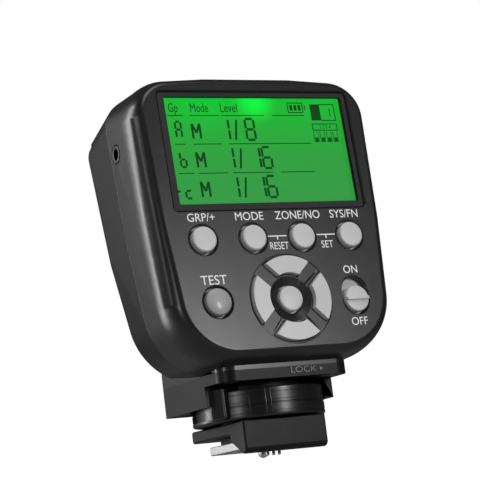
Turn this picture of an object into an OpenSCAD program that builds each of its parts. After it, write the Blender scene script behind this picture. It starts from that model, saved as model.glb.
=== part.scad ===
// Wireless flash trigger with a shoe foot, a lock ring, a display and ten keys.
// Origin: centre of the shoe plate's lower face. +X right, +Y away from the user, +Z up.
// The body is drawn on its face: x across, y up the face, z out of it, from the centre of the arrow keys.

/* [Body] */
// Width across the upper corners
body_w = 61.2; // [60:0.2:75]
// Offset of the body's middle from the display's middle
body_x = -0.4; // [-0.6:0.1:0.4]
// Width across the lower bends
body_low_w = 58.2; // [56:0.2:70]
// Height of the crown above the arrow keys' centre
body_top = 54.4; // [54:0.1:66]
// Depth of the lowest point below the arrow keys' centre
body_bottom = 13.5; // [13:0.1:16]
// Depth from the face to the back
body_deep = 38; // [37.5:0.5:46]
// Depth of the seam between the two shells
seam_deep = 16.5; // [16.5:0.1:17]
// Wall thickness of the shells
wall = 1.8; // [1.6:0.1:2]
// Radius of the upper corners
corner_r = 9.5; // [8.5:0.1:10.5]
// Radius of the upper corners at the seam
seam_corner_r = 7.8; // [7:0.1:10.5]
// Radius of the upper corners at the back
back_corner_r = 8.6; // [7:0.1:10.5]
// Radius of the lower bends
bend_r = 15; // [14.5:0.1:18]
// Radius of the lower bends at the back
back_bend_r = 17.8; // [15:0.1:18]
// Inset of the face's edge from the side
edge_in = 2.6; // [2:0.1:3]
// Depth of the rounded edge beside the face
edge_deep = 8; // [6:0.5:10]
// Radius of the rounded back edge
back_r = 7; // [6.5:0.1:7.5]
// Lean of the face, in degrees
lean = 5.2; // [3:0.1:7]
// Height of the arrow keys' centre above the shoe plate
face_z = 32; // [32:0.1:40]
// Distance of the face in front of the shoe's centre
face_y = 21.2; // [20:0.1:24]

/* [Display] */
// Width of the visible display
view_w = 46.4; // [40:0.1:47]
// Height of the visible display
view_h = 25.7; // [22:0.1:26]
// Height of the display's centre above the arrow keys' centre
view_y = 35.6; // [35.6:0.1:38]
// Margin of the clear window round the visible display
window_margin = 1.3; // [1:0.1:1.4]
// Thickness of the clear window
window_t = 1; // [0.8:0.1:1.2]
// Depth of the window below the face
window_deep = 0.6; // [0.4:0.1:1.6]

/* [Keys] */
// Radius of a round key's cap
key_r = 2.95; // [2.4:0.05:3.2]
// Gap between a cap and its hole
key_gap = 0.5; // [0.4:0.05:0.6]
// Distance between two round keys
key_pitch = 12.6; // [12:0.1:14]
// Height of the round keys above the arrow keys' centre
key_row_y = 14.4; // [14.4:0.1:15]
// Height of a cap above the face
key_proud = 1.1; // [0.8:0.1:1.5]
// Travel of a key
key_travel = 0.45; // [0.3:0.05:0.5]
// Outer radius of the arrow keys
arrow_r = 9.8; // [9:0.1:10]
// Inner radius of the arrow keys
arrow_in_r = 5.85; // [5.6:0.05:6]
// Width of the bridges between the arrow keys
bridge_w = 3.1; // [2.6:0.1:3.4]
// Radius of the test key's cap
test_r = 3.1; // [2.6:0.05:3.3]
// Distance of the arrow keys right of the display's middle
pad_x = 0.75; // [0:0.05:1]
// Distance of the test key left of the centre
test_x = 17.7; // [17.7:0.1:19]
// Distance of the power slot right of the centre
power_x = 17.65; // [17.65:0.05:19]
// Length of the power slot
power_slot_l = 8.75; // [8.5:0.05:9]
// Width of the power slot
power_slot_w = 6.55; // [6:0.05:7]
// Travel of the power knob
power_travel = 1.9; // [1.4:0.1:1.9]

/* [Battery] */
// Diameter of a cell
cell_d = 14.4; // [10.5:0.1:14.5]
// Length of a cell without its button
cell_l = 49.2; // [43.5:0.1:49.2]
// Distance between the two cells
cell_pitch = 15.2; // [15.2:0.1:16]
// Lower edge of the battery door above the arrow keys' centre
door_low = 1.3; // [1:0.1:2]
// Height of the battery door
door_h = 35.2; // [35:0.1:36]
// Distance of the battery door's right edge from the middle
door_right = 20; // [18:0.5:21]

/* [Sync jack] */
// Radius of the jack's bore
jack_r = 1.3; // [1.25:0.05:1.8]
// Depth of the jack's bore
jack_l = 10; // [9:0.5:12]
// Height of the jack above the arrow keys' centre
jack_y = 39.2; // [38:0.1:40]
// Depth of the jack behind the face
jack_deep = 13.1; // [13.1:0.05:13.2]

/* [Foot] */
// Width of the shoe plate
plate_w = 18.6; // [18.3:0.1:18.6]
// Length of the shoe plate
plate_l = 18; // [17:0.1:18]
// Thickness of the shoe plate
plate_t = 2; // [1.9:0.05:2.05]
// Gap between the plate and the housing for the shoe's rails
rail_gap = 1.5; // [1.4:0.05:1.8]
// Width of the waist above the shoe plate
waist_w = 12.4; // [11.5:0.1:12.4]
// Width of the foot's housing
base_w = 21.5; // [21.5:0.1:24]
// Side of the square flange
flange_w = 33.2; // [33.2:0.1:36]
// Radius of the lock ring
ring_r = 15.55; // [15:0.05:15.7]
// Height of the lock ring
ring_h = 6.7; // [6.4:0.1:6.7]
// Radius of the post that the lock ring turns on
post_r = 9; // [8.8:0.1:9.2]
// Turn of the lock ring, in degrees
ring_turn = 80; // [60:1:80]
// Drop of the lock pin
pin_drop = 1.4; // [1:0.1:1.4]
// Radius of the lock pin
lock_pin_r = 0.8; // [0.6:0.05:0.9]

/* [Fits] */
// Gap between flat faces that slide
slide_gap = 0.2; // [0.15:0.01:0.3]
// Radial clearance of pins and of the lock ring on its post
turn_gap = 0.06; // [0.03:0.01:0.1]
// Gap between curved faces of pieces that move past each other
round_gap = 0.35; // [0.3:0.01:0.5]

/* [Hidden] */
$fn = 64;
blend_fn = 32;
skin = 0.01;
more = 1;

// Outline of the body
crown = 0.6;
crown_x = 11;
mid_r = 16.2;
mid_y = 20;
mid_w = body_low_w + 0.7 * (body_w - body_low_w);
side_in = 1.6;
low_edge_in = 0.9;
low_taper = 0.09;
back_slope = 0.08;
round_start = body_deep - back_r;
edge_steps = 5;

// Display stack, as depths behind the face
window_w = view_w + 2 * window_margin;
window_h = view_h + 2 * window_margin;
window_fit = 0.15;
window_back = window_deep + window_t;
seat_t = 0.8;
frame_front = window_back + seat_t;
glass_gap = 0.1;
glass_t = 1.8;
backlight_t = 2.6;
glass_back = frame_front + glass_gap + glass_t;
board_front = 8.2;
board_t = 1.6;
board_back = board_front + board_t;
board_in = wall + 1.8;
frame_margin = 0.5;
frame_r = 3;
strip_w = 1;

// Keys
key_hole_r = key_r + key_gap;
lip_t = 0.9;
lip_over = 0.8;
lip_front = wall + 0.05;
stem_r = 1.2;
button_gap = 0.1;
tact_w = 4.5;
tact_h = 3.3;
tact_button_r = 1.1;
tact_button_h = 0.3;
tact_top = board_front - tact_h - tact_button_h;
stem_end = tact_top - key_travel - button_gap;
row_x = [for (k = [-1.5 : 1 : 1.5]) k * key_pitch];
centre_r = 2.93;
centre_hole_r = 3.3;
dish_r = 5.3;
dish_deep = 0.7;
arrow_hole_r = arrow_r + round_gap;
arrow_hole_in_r = arrow_in_r - 0.3;
arrow_mid = (arrow_r + arrow_in_r) / 2;
hole_chamfer = 0.35;

// Power switch, with its knob at rest in the lower end of the slot
knob_r = 3;
knob_y = power_slot_w / 2 - power_slot_l / 2 + 0.2;
knob_proud = 1.4;
ridge_w = 0.8;
knob_plate_t = 0.8;
knob_plate_w = power_slot_w + 0.9;
knob_plate_over = 0.35;
knob_peg_r = 0.9;
switch_w = 4.6;
switch_l = 11.5;
switch_top = 4.6;
switch_slot_deep = 1.2;

// Case screws: x and y of the right-hand pair
boss_top = [27, 46.8];
boss_low = [12.2, -7.9];
boss_r = 2.1;
screw_r = 0.9;
head_r = 1.6;
head_t = 1.2;
screw_floor = 26;
boss_front = 3.4;

// Battery bay
bay_rise = 1.5;
bay_y = door_low + door_h / 2 + bay_rise;
cell_deep = 26.4;
bay_skin = 0.9;
bay_h = 2 * cell_pitch + 0.8;
bay_wall = 1.2;
bay_front = cell_deep - cell_d / 2 - 0.4;
button_l = 1;
button_r = 2.7;
contact_t = 0.3;
contact_w = 5.4;
spring_l = 0.8;
bay_w = cell_l + button_l + 2 * contact_t + spring_l;
door_gap = 0.15;
door_wrap = 32;
door_in = body_deep - wall;
tongue_t = 0.8;
tongue_over = 1.2;
door_grooves = 5;
door_groove_pitch = 2;
far = 60;

// Jack
jack_box = 6.4;
jack_ring_t = 0.75;
jack_face = body_w / 2 - body_x - jack_ring_t;
jack_barrel_r = 2;
jack_back = jack_face - jack_l - 1;
jack_box_front = wall;

// Foot, as heights
waist_top = plate_t + rail_gap;
base_top = 6.4;
ring_z = base_top + slide_gap;
ring_top = ring_z + ring_h;
flange_z = 14.8;
flange_top = 17.2;
neck_top = 20.5;
neck_crest = 23;
neck_crest_in = 2.5;
neck_y = -0.15;
flange_r = 3.8;
flange_back_r = 1.4;
neck_in = 2;
shroud_z = 10.2;
shroud_front = -7;
shroud_gap = 0.4;
base_front = -12.4;
base_back = 15;
stop_z = -1.2;
stop_t = 3.3;
stop_flat = 1.8;
stop_bevel = 0.8;
cheek_gap = 0.15;
cheek_back = -4.9;
cheek_top = 2;
bevel = 0.35;
post_bore_r = 6.4;
well_r = 5.2;
flange_screw = 12.4;
flange_boss_r = 2.5;
post_screw_r = 0.7;
post_screw_at = 7.8;
post_screw_head_r = 1.3;
ribbon_hole_r = 5;
plate_screw = [4.3, 7.2];
plate_screw_r = 0.8;
plate_screw_head_r = 1.5;
plate_screw_top = 5;

// Contacts
block_w = 8.4;
block_front = -5.4;
block_back = 2.4;
block_top = 4.6;
block_low = -0.25;
block_fit = 0.05;
centre_contact_r = 1.2;
centre_contact_y = 0;
centre_tip = -2;
data_pin_r = 0.42;
data_pin_y = -3.6;
data_tip = -1.8;
data_pitch = 1.5;
data_x = [for (k = [-1.5 : 1 : 1.5]) k * data_pitch];
collar_t = 0.5;
centre_collar_r = 1.55;
data_collar_r = 0.58;
foot_board_z = 8.2;
foot_board_t = 0.8;
spring_turns = 4;

// Lock pin and the cam under the ring
lock_pin_y = 7.4;
lock_pin_rest = 0.3;
arm_w = 2.2;
arm_end = 10.5;
arm_z = 6.7;
arm_t = 1;
arm_floor = arm_z - pin_drop - slide_gap;
cam_steps = 8;
cam_out_r = 10.75;
cam_roof = 8.6;
cam_gap = 0.06;
cam_root = 0.4;
arm_half_turn = 6.6;
pin_spring_z = 3.9;
pin_spring_r = 1.3;

// Thumb lug and ridges of the ring, as angles from the front towards the left
lug_from = 38.5;
lug_to = 52.5;
lug_out = 1.7;
lug_z = 7.1;
lug_top = 14.1;
ridge_angles = [58, 32.3, 18.9, 14.5];
ridge_turn = 1.6;
grip_from = 12.5;
grip_to = 66;
grip_in = 0.55;
grip_rim = 0.8;
groove_z = 9.5;
groove_h = 0.9;
groove_in = 0.4;

// ---- Frames and outlines ----

module on_face() {
    translate([0, -face_y, face_z]) rotate([90 - lean, 0, 0]) children();
}

module at_depth(d) {
    translate([0, 0, -d]) children();
}

// One thin slice of the body: inset all round, its top lowered, its lower bends moved inwards
module slice(inset, drop = 0, squeeze = 0, corner = corner_r, bend = bend_r) {
    translate([body_x, 0, 0]) for (side = [-1, 1]) {
        translate([side * (body_w / 2 - corner), body_top - crown - corner - drop, 0])
            cylinder(r = max(skin, corner - inset), h = skin);
        translate([side * crown_x, body_top - corner - drop, 0])
            cylinder(r = max(skin, corner - inset), h = skin);
        translate([side * (mid_w / 2 - mid_r - squeeze / 2), mid_y, 0])
            cylinder(r = mid_r - inset, h = skin);
        translate([side * (body_low_w / 2 - bend - squeeze), bend - body_bottom, 0])
            cylinder(r = bend - inset, h = skin);
    }
}

function squeeze_at(d) = low_taper * max(0, d - edge_deep);

// The front part of the body as one solid, with all its faces moved inwards by t
module front_form(t, back) {
    hull() {
        for (k = [0 : edge_steps]) {
            turn = 90 * k / edge_steps;
            at_depth(t + (edge_deep - t) * (1 - cos(turn)) + (t == 0 ? skin : 0))
                slice(t + edge_in * (1 - sin(turn)), 0, low_edge_in * (1 - sin(turn)), $fn = blend_fn);
        }
        at_depth(back) slice(t, 0, squeeze_at(back), seam_corner_r, $fn = blend_fn);
    }
}

module rear_form(t, front) {
    hull() {
        at_depth(front + skin) slice(t, 0, squeeze_at(front), seam_corner_r, $fn = blend_fn);
        for (k = [0 : edge_steps]) {
            turn = 90 * k / edge_steps;
            d = round_start + (back_r - t) * sin(turn);
            at_depth(d)
                slice(side_in + t + (back_r - t) * (1 - cos(turn)), back_slope * (d - seam_deep) - side_in / 2,
                    squeeze_at(d), back_corner_r, back_bend_r, $fn = blend_fn);
        }
    }
}

// Square with rounded corners, those at the back sharper than those at the front
module rounded_square(w, r, h) {
    rb = r * flange_back_r / flange_r;
    front = neck_y - w / 2;
    back = neck_y + w / 2;
    translate([-w / 2, front + r, 0]) cube([w, w - r - rb, h]);
    translate([r - w / 2, front, 0]) cube([w - 2 * r, w / 2, h]);
    translate([rb - w / 2, neck_y, 0]) cube([w - 2 * rb, w / 2, h]);
    for (side = [-1, 1]) {
        translate([side * (w / 2 - r), front + r, 0]) cylinder(r = r, h = h);
        translate([side * (w / 2 - rb), back - rb, 0]) cylinder(r = rb, h = h);
    }
}

// Neck between the body and the flange, with a rounded shoulder at its top
module neck_form(t, low) {
    hull() {
        translate([0, 0, low]) rounded_square(flange_w - 2 * t, flange_r - t / 2, neck_top - low, $fn = blend_fn);
        translate([0, 0, neck_crest - t / 2])
            rounded_square(flange_w - 2 * (neck_crest_in + t), flange_r - t / 2, skin, $fn = blend_fn);
    }
}

module front_half() {
    on_face() at_depth(seam_deep) translate([-far, -far, 0]) cube([2 * far, 2 * far, far]);
}

module rear_half() {
    on_face() at_depth(seam_deep + far) translate([-far, -far, 0]) cube([2 * far, 2 * far, far]);
}

module box_at(x0, x1, y0, y1, d0, d1) {
    translate([x0, y0, -d1]) cube([x1 - x0, y1 - y0, d1 - d0]);
}

module post_at(p, r, d0, d1) {
    translate([p[0], p[1], -d1]) cylinder(r = r, h = d1 - d0);
}

module ring_solid(r_out, r_in, h) {
    difference() {
        cylinder(r = r_out, h = h);
        translate([0, 0, -more]) cylinder(r = r_in, h = h + 2 * more);
    }
}

function case_bosses() = [for (side = [-1, 1], p = [boss_top, boss_low]) [body_x + side * p[0], p[1]]];

// ---- Case ----

module round_hole(p, r) {
    post_at(p, r, -more, wall + more);
    translate([p[0], p[1], -hole_chamfer]) cylinder(r1 = r, r2 = r + hole_chamfer, h = hole_chamfer + skin);
}

// One of the four arc shapes of the arrow keys; side 0 is right, 1 up, 2 left, 3 down
module arrow_arc(side, r_out, r_in, bar, d0, d1) {
    translate([pad_x, 0, 0]) rotate([0, 0, 90 * side - 45]) difference() {
        intersection() {
            post_at([0, 0], r_out, d0, d1);
            box_at(bar / 2, far, bar / 2, far, d0 - more, d1 + more);
        }
        post_at([0, 0], r_in, d0 - more, d1 + more);
    }
}

module power_slot(w, l, d0, d1) {
    for (y = [-1, 1]) post_at([power_x, y * (l - w) / 2], w / 2, d0, d1);
    box_at(power_x - w / 2, power_x + w / 2, (w - l) / 2, (l - w) / 2, d0, d1);
}

module face_holes() {
    for (x = row_x) round_hole([x, key_row_y], key_hole_r);
    round_hole([-test_x, 0], test_r + key_gap);
    round_hole([pad_x, 0], centre_hole_r);
    translate([pad_x, 0, -dish_deep]) cylinder(r1 = centre_hole_r, r2 = dish_r, h = dish_deep + skin);
    for (side = [0 : 3])
        arrow_arc(side, arrow_hole_r, arrow_hole_in_r, bridge_w, -more, wall + more);
    power_slot(power_slot_w, power_slot_l, -more, wall + more);
    lip_room();
}

// Room behind the face for the lips of the arrow keys and for the knob's plate in its travel
module lip_room() {
    post_at([pad_x, 0], arrow_hole_r + lip_over + slide_gap, wall, lip_front + lip_t + key_travel + slide_gap);
    w = knob_plate_w / 2 + slide_gap;
    l = power_slot_l / 2 + power_travel + knob_plate_over + slide_gap;
    box_at(power_x - w, power_x + w, -l, l, wall, wall + 0.1 + knob_plate_t + slide_gap);
}

module window_recess() {
    w = window_w + 2 * window_fit;
    h = window_h + 2 * window_fit;
    box_at(-w / 2, w / 2, view_y - h / 2, view_y + h / 2, -more, window_back);
    box_at(-view_w / 2, view_w / 2, view_y - view_h / 2, view_y + view_h / 2, 0, frame_front + more);
}

module front_shell() {
    color("dimgray") difference() {
        union() {
            difference() {
                union() {
                    on_face() front_form(0, seam_deep);
                    intersection() {
                        neck_form(0, flange_top);
                        front_half();
                    }
                }
                on_face() front_form(wall, seam_deep + more);
                neck_form(neck_in, flange_top - more);
            }
            on_face() intersection() {
                front_form(wall / 2, seam_deep);
                union() {
                    box_at(-window_w / 2 - 1.6, window_w / 2 + 1.6, view_y - window_h / 2 - 0.8,
                        view_y + window_h / 2 + 1.4, wall / 2, frame_front);
                    for (p = case_bosses()) post_at(p, boss_r, wall / 2, seam_deep);
                }
            }
            intersection() {
                front_half();
                flange_bosses();
            }
        }
        on_face() {
            face_holes();
            window_recess();
            for (p = case_bosses()) post_at(p, screw_r - 0.1, boss_front, seam_deep + more);
            translate([body_x - body_w / 2 - more, jack_y, -jack_deep]) rotate([0, 90, 0])
                cylinder(r = jack_barrel_r + 0.05, h = wall + 2 * more);
        }
        flange_boss_holes();
    }
}

module flange_bosses() {
    for (x = [-1, 1], y = [-1, 1])
        translate([x * flange_screw, neck_y + y * flange_screw, flange_top])
            cylinder(r = flange_boss_r, h = neck_top - flange_top);
}

module flange_boss_holes() {
    for (x = [-1, 1], y = [-1, 1])
        translate([x * flange_screw, neck_y + y * flange_screw, flange_top - more])
            cylinder(r = screw_r - 0.1, h = neck_top - flange_top + 2 * more);
}

// Hollow of the battery bay down to the depth back
module bay_space(back) {
    intersection() {
        translate([body_x, 0, 0])
            box_at(-bay_w / 2, bay_w / 2, bay_y - bay_h / 2, bay_y + bay_h / 2, bay_front, back);
        rear_form(bay_skin, seam_deep);
    }
    contact_plates(slide_gap / 2);
}

module door_way() {
    g = door_gap;
    box_at(-far, door_right + g, door_low - g, door_low + door_h + g, door_wrap - g, far);
    box_at(-far, door_right + g, door_low - tongue_over - g, door_low + door_h + tongue_over + g,
        door_in - tongue_t - 2 * g, door_in);
}

module rear_shell() {
    color("dimgray") difference() {
        union() {
            difference() {
                union() {
                    on_face() rear_form(0, seam_deep);
                    intersection() {
                        neck_form(0, flange_top);
                        rear_half();
                    }
                }
                on_face() rear_form(wall, seam_deep - skin);
                neck_form(neck_in, flange_top - more);
            }
            on_face() intersection() {
                rear_form(wall / 2, seam_deep);
                union() {
                    box_at(-far, far, bay_y - bay_h / 2 - bay_wall, bay_y + bay_h / 2 + bay_wall,
                        bay_front - bay_wall, door_in);
                    for (p = case_bosses()) post_at(p, boss_r, seam_deep, body_deep);
                }
            }
            intersection() {
                rear_half();
                flange_bosses();
            }
        }
        on_face() {
            bay_space(door_in);
            door_way();
            for (p = case_bosses()) {
                post_at(p, screw_r + 0.1, seam_deep - more, body_deep + more);
                post_at(p, head_r + 0.1, screw_floor, body_deep + more);
            }
        }
        flange_boss_holes();
    }
}

module battery_door() {
    color("dimgray") on_face() difference() {
        union() {
            intersection() {
                rear_form(0, seam_deep);
                box_at(-far, door_right, door_low, door_low + door_h, door_wrap, far);
            }
        }
        difference() {
            rear_form(wall, seam_deep - more);
            box_at(-far, door_right - 1, door_low - tongue_over, door_low + door_h + tongue_over,
                door_in - tongue_t - door_gap, far);
        }
        bay_space(cell_deep + cell_d / 2 + slide_gap);
        for (k = [0 : door_grooves - 1])
            box_at(-14 + k * door_groove_pitch, -13 + k * door_groove_pitch, bay_y - 6, bay_y + 6,
                body_deep - 0.5, far);
    }
}

module case_screws() {
    color("silver") on_face() for (p = case_bosses()) {
        post_at(p, screw_r - 0.1, boss_front + 1, screw_floor);
        difference() {
            post_at(p, head_r, screw_floor, screw_floor + head_t);
            box_at(p[0] - 0.2, p[0] + 0.2, p[1] - 1, p[1] + 1, screw_floor + 0.7, far);
            box_at(p[0] - 1, p[0] + 1, p[1] - 0.2, p[1] + 0.2, screw_floor + 0.7, far);
        }
    }
}

// ---- Display ----

module display_window() {
    color([0.1, 0.8, 0.2]) on_face()
        box_at(-window_w / 2, window_w / 2, view_y - window_h / 2, view_y + window_h / 2, window_deep, window_back);
}

module display_frame() {
    w = window_w + 2 * frame_margin;
    h = window_h + 2 * frame_margin;
    inner_w = window_w - 1;
    inner_h = window_h - 1;
    color("black") on_face() difference() {
        union() {
            box_at(-w / 2 + frame_r, w / 2 - frame_r, view_y - h / 2, view_y + h / 2, frame_front, board_front);
            box_at(-w / 2, w / 2, view_y - h / 2 + frame_r, view_y + h / 2 - frame_r, frame_front, board_front);
            for (x = [-1, 1], y = [-1, 1])
                post_at([x * (w / 2 - frame_r), view_y + y * (h / 2 - frame_r)], frame_r, frame_front, board_front);
        }
        box_at(-inner_w / 2, inner_w / 2, view_y - inner_h / 2, view_y + inner_h / 2, 0, far);
        for (p = case_bosses()) post_at(p, boss_r + 0.2, 0, far);
    }
}

module display_glass() {
    w = window_w - 1.2;
    h = window_h - 1.2;
    color("green") on_face()
        box_at(-w / 2, w / 2, view_y - h / 2, view_y + h / 2, frame_front + glass_gap, glass_back);
}

module backlight() {
    w = window_w - 1.2;
    h = window_h - 1.2;
    color("ivory") on_face()
        box_at(-w / 2, w / 2, view_y - h / 2 + strip_w + 1, view_y + h / 2, glass_back, board_front);
}

module display_strip() {
    low = view_y - window_h / 2 + 0.8;
    color("gray") on_face()
        box_at(-view_w / 2 + 1, view_w / 2 - 1, low, low + strip_w, glass_back, board_front);
}

// ---- Electronics ----

module main_board() {
    color("darkgreen") on_face() difference() {
        at_depth(board_back) hull() {
            slice(board_in, $fn = blend_fn);
            translate([0, 0, board_t - skin]) slice(board_in, $fn = blend_fn);
        }
        for (p = case_bosses()) post_at(p, boss_r + 0.3, 0, far);
        for (p = board_screw_points()) post_at(p, 0.7, 0, far);
    }
}

function board_screw_points() = [[-7.5, -7], [22.6, 19.5], [-22.6, 19.5]];

module board_screws() {
    color("silver") on_face() for (p = board_screw_points()) {
        post_at(p, 0.65, board_front - 3, board_back);
        post_at(p, 1.3, board_back, board_back + 0.9);
    }
}

module controller_chip() {
    color("black") on_face() box_at(-12, -2, 3, 13, board_back, board_back + 1.2);
}

module radio_module() {
    color("silver") on_face() {
        box_at(2, 20, 24, 38, board_back, board_back + 0.8);
        box_at(4, 18, 26, 36, board_back + 0.8, board_back + 2.8);
    }
}

module antenna() {
    color("gold") on_face() {
        box_at(-12, 12, 47.2, 48.2, board_back + 1, board_back + 1.6);
        box_at(-12, -11, 47.2, 48.2, board_back, board_back + 1);
    }
}

function tact_points() = concat(
    [for (x = row_x) [x, key_row_y]],
    [for (side = [0 : 3]) arrow_point(side)],
    [[pad_x, 0], [-test_x, 0]]
);

function arrow_point(side) = [pad_x + arrow_mid * cos(90 * side), arrow_mid * sin(90 * side)];

module tact_switches() {
    w = tact_w / 2;
    color("silver") on_face() for (p = tact_points()) {
        box_at(p[0] - w, p[0] + w, p[1] - (norm(p) < arrow_r ? w * 0.6 : w), p[1] + (norm(p) < arrow_r ? w * 0.6 : w),
            board_front - tact_h, board_front);
        post_at(p, tact_button_r, tact_top, board_front - tact_h);
    }
}

module test_lamp() {
    color("red") on_face() box_at(-test_x - 0.8, -test_x + 0.8, 2.6, 3.4, board_front - 0.8, board_front);
}

module power_switch() {
    color("darkslategray") on_face() difference() {
        box_at(power_x - switch_w / 2, power_x + switch_w / 2, -switch_l / 2, switch_l / 2, switch_top, board_front);
        box_at(power_x - knob_peg_r - 0.2, power_x + knob_peg_r + 0.2, knob_y - knob_peg_r - 0.3,
            knob_y + power_travel + knob_peg_r + 0.3, 0, switch_top + switch_slot_deep);
    }
}

module power_knob() {
    over = knob_plate_over;
    color("lightgray") on_face() {
        difference() {
            post_at([power_x, knob_y], knob_r, -knob_proud, wall + 0.1);
            for (side = [-1, 1])
                box_at(power_x - far, power_x + far, knob_y + (side > 0 ? ridge_w / 2 : -far),
                    knob_y + (side > 0 ? far : -ridge_w / 2), -far, 0.7 - knob_proud);
        }
        box_at(power_x - knob_plate_w / 2, power_x + knob_plate_w / 2, -power_slot_l / 2 - power_travel - over,
            power_slot_l / 2 + over, wall + 0.1, wall + 0.1 + knob_plate_t);
        post_at([power_x, knob_y], knob_peg_r, wall + 0.1 + knob_plate_t, switch_top + switch_slot_deep - 0.3);
    }
}

module sync_jack() {
    half = jack_box / 2;
    color("black") on_face() difference() {
        union() {
            box_at(jack_box_front - jack_face, -jack_back, jack_y - half, jack_y + half, board_back, jack_deep + half);
            translate([-jack_face, jack_y, -jack_deep]) rotate([0, 90, 0]) cylinder(r = jack_barrel_r, h = 3);
        }
        translate([-jack_face - more, jack_y, -jack_deep]) rotate([0, 90, 0]) cylinder(r = jack_r, h = jack_l + more);
    }
}

module jack_ring() {
    color("silver") on_face() translate([body_x - body_w / 2, jack_y, -jack_deep]) rotate([0, 90, 0])
        ring_solid(jack_barrel_r, jack_r, jack_ring_t);
}

// ---- Keys ----

module key_stem(p, lip_r) {
    post_at(p, lip_r, lip_front, lip_front + lip_t);
    post_at(p, stem_r, lip_front + lip_t, stem_end);
}

// Round cap with a chamfered rim, its lip behind the shell and its stem
module round_key(p, r, proud) {
    rim = 0.4;
    on_face() {
        post_at(p, r, rim - proud, lip_front);
        translate([p[0], p[1], proud - rim]) cylinder(r1 = r, r2 = r - rim, h = rim);
        key_stem(p, r + key_gap + lip_over);
    }
}

module arrow_key(side) {
    bar = bridge_w + 2 * round_gap;
    on_face() {
        arrow_arc(side, arrow_r, arrow_in_r, bar, -key_proud, lip_front);
        arrow_arc(side, arrow_hole_r + lip_over, arrow_in_r - 0.6, bar - 1, lip_front, lip_front + lip_t);
        post_at(arrow_point(side), stem_r, lip_front + lip_t, stem_end);
    }
}

module key_group() { color("gainsboro") round_key([row_x[0], key_row_y], key_r, key_proud); }
module key_mode() { color("gainsboro") round_key([row_x[1], key_row_y], key_r, key_proud); }
module key_zoom() { color("gainsboro") round_key([row_x[2], key_row_y], key_r, key_proud); }
module key_function() { color("gainsboro") round_key([row_x[3], key_row_y], key_r, key_proud); }
module key_right() { color("gainsboro") arrow_key(0); }
module key_up() { color("gainsboro") arrow_key(1); }
module key_left() { color("gainsboro") arrow_key(2); }
module key_down() { color("gainsboro") arrow_key(3); }
module key_test() { color("silver") round_key([-test_x, 0], test_r, key_proud); }

module key_centre() {
    color("gainsboro") on_face() {
        post_at([pad_x, 0], centre_r, -0.5, lip_front);
        key_stem([pad_x, 0], centre_hole_r + 0.5);
    }
}

// ---- Battery ----

// One cell with its button towards +X on side 1 and towards -X on side -1
module cell(side, y) {
    middle = bay_w / 2 - contact_t - button_l - cell_l / 2;
    translate([body_x + side * middle, bay_y + y, -cell_deep]) rotate([0, side * 90, 0]) {
        translate([0, 0, -cell_l / 2]) cylinder(d = cell_d, h = cell_l);
        cylinder(r = button_r, h = cell_l / 2 + button_l);
    }
}

module battery_lower() { color("orange") on_face() cell(1, -cell_pitch / 2); }
module battery_upper() { color("orange") on_face() cell(-1, cell_pitch / 2); }

module contact_plates(grow) {
    for (x = [-1, 1], y = [-1, 1])
        translate([body_x + x * (bay_w / 2 - contact_t / 2), bay_y + y * cell_pitch / 2, -cell_deep])
            cube([contact_t + 2 * grow, contact_w + 2 * grow, contact_w + 2 * grow], center = true);
}

module battery_contacts() {
    color("silver") on_face() contact_plates(0);
}

module battery_springs() {
    color("silver") on_face() for (s = [-1, 1])
        translate([body_x - s * (bay_w / 2 - contact_t), bay_y - s * cell_pitch / 2, -cell_deep])
            rotate([0, s * 90, 0]) ring_solid(2.6, 1.9, spring_l);
}

// ---- Foot ----

module foot_flange() {
    color("black") difference() {
        union() {
            translate([0, 0, flange_z]) rounded_square(flange_w, flange_r, flange_top - flange_z);
            intersection() {
                translate([0, 0, shroud_z]) rounded_square(flange_w, flange_r, flange_z - shroud_z);
                translate([-far, shroud_front, 0]) cube([2 * far, far, far]);
            }
        }
        translate([0, 0, shroud_z - more]) cylinder(r = ring_r + shroud_gap, h = flange_z - shroud_z + more);
        cylinder(r = ribbon_hole_r, h = far);
        for (x = [-1, 1], y = [-1, 1]) translate([x * flange_screw, neck_y + y * flange_screw, 0]) {
            cylinder(r = screw_r + 0.1, h = far);
            cylinder(r = head_r + 0.1, h = flange_z + 1);
        }
        for (a = [30, 150, 270]) rotate([0, 0, a]) translate([post_screw_at, 0, 0]) {
            cylinder(r = post_screw_r + 0.1, h = far);
            translate([0, 0, flange_top - 1]) cylinder(r = post_screw_head_r + 0.1, h = far);
        }
    }
}

module flange_screws() {
    color("silver") for (x = [-1, 1], y = [-1, 1]) translate([x * flange_screw, neck_y + y * flange_screw, flange_z]) {
        cylinder(r = head_r, h = 1);
        cylinder(r = screw_r - 0.1, h = neck_top - flange_z - 0.5);
    }
}

module post_screws() {
    color("silver") for (a = [30, 150, 270]) rotate([0, 0, a]) translate([post_screw_at, 0, 0]) {
        translate([0, 0, base_top + 2]) cylinder(r = post_screw_r, h = flange_top - base_top - 3);
        translate([0, 0, flange_top - 1]) cylinder(r = post_screw_head_r, h = 1);
    }
}

module sector(r_out, r_in, from, to, z, h) {
    rotate([0, 0, 270 - to]) translate([0, 0, z]) rotate_extrude(angle = to - from)
        translate([r_in, 0]) square([r_out - r_in, h]);
}

// Stepped cam: each step lies just above the arm at the turn where the arm first comes under it
module lock_cam() {
    step = ring_turn / cam_steps;
    for (k = [0 : cam_steps]) {
        fall = pin_drop * min(1, max(0, k * step - arm_half_turn) / ring_turn);
        z = arm_z + arm_t + cam_gap - fall;
        sector(cam_out_r + cam_root, post_r + turn_gap + cam_root / 4, step * k - 180, step * (cam_steps + 1) - 180,
            z, cam_roof + cam_root - z);
    }
}

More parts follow.
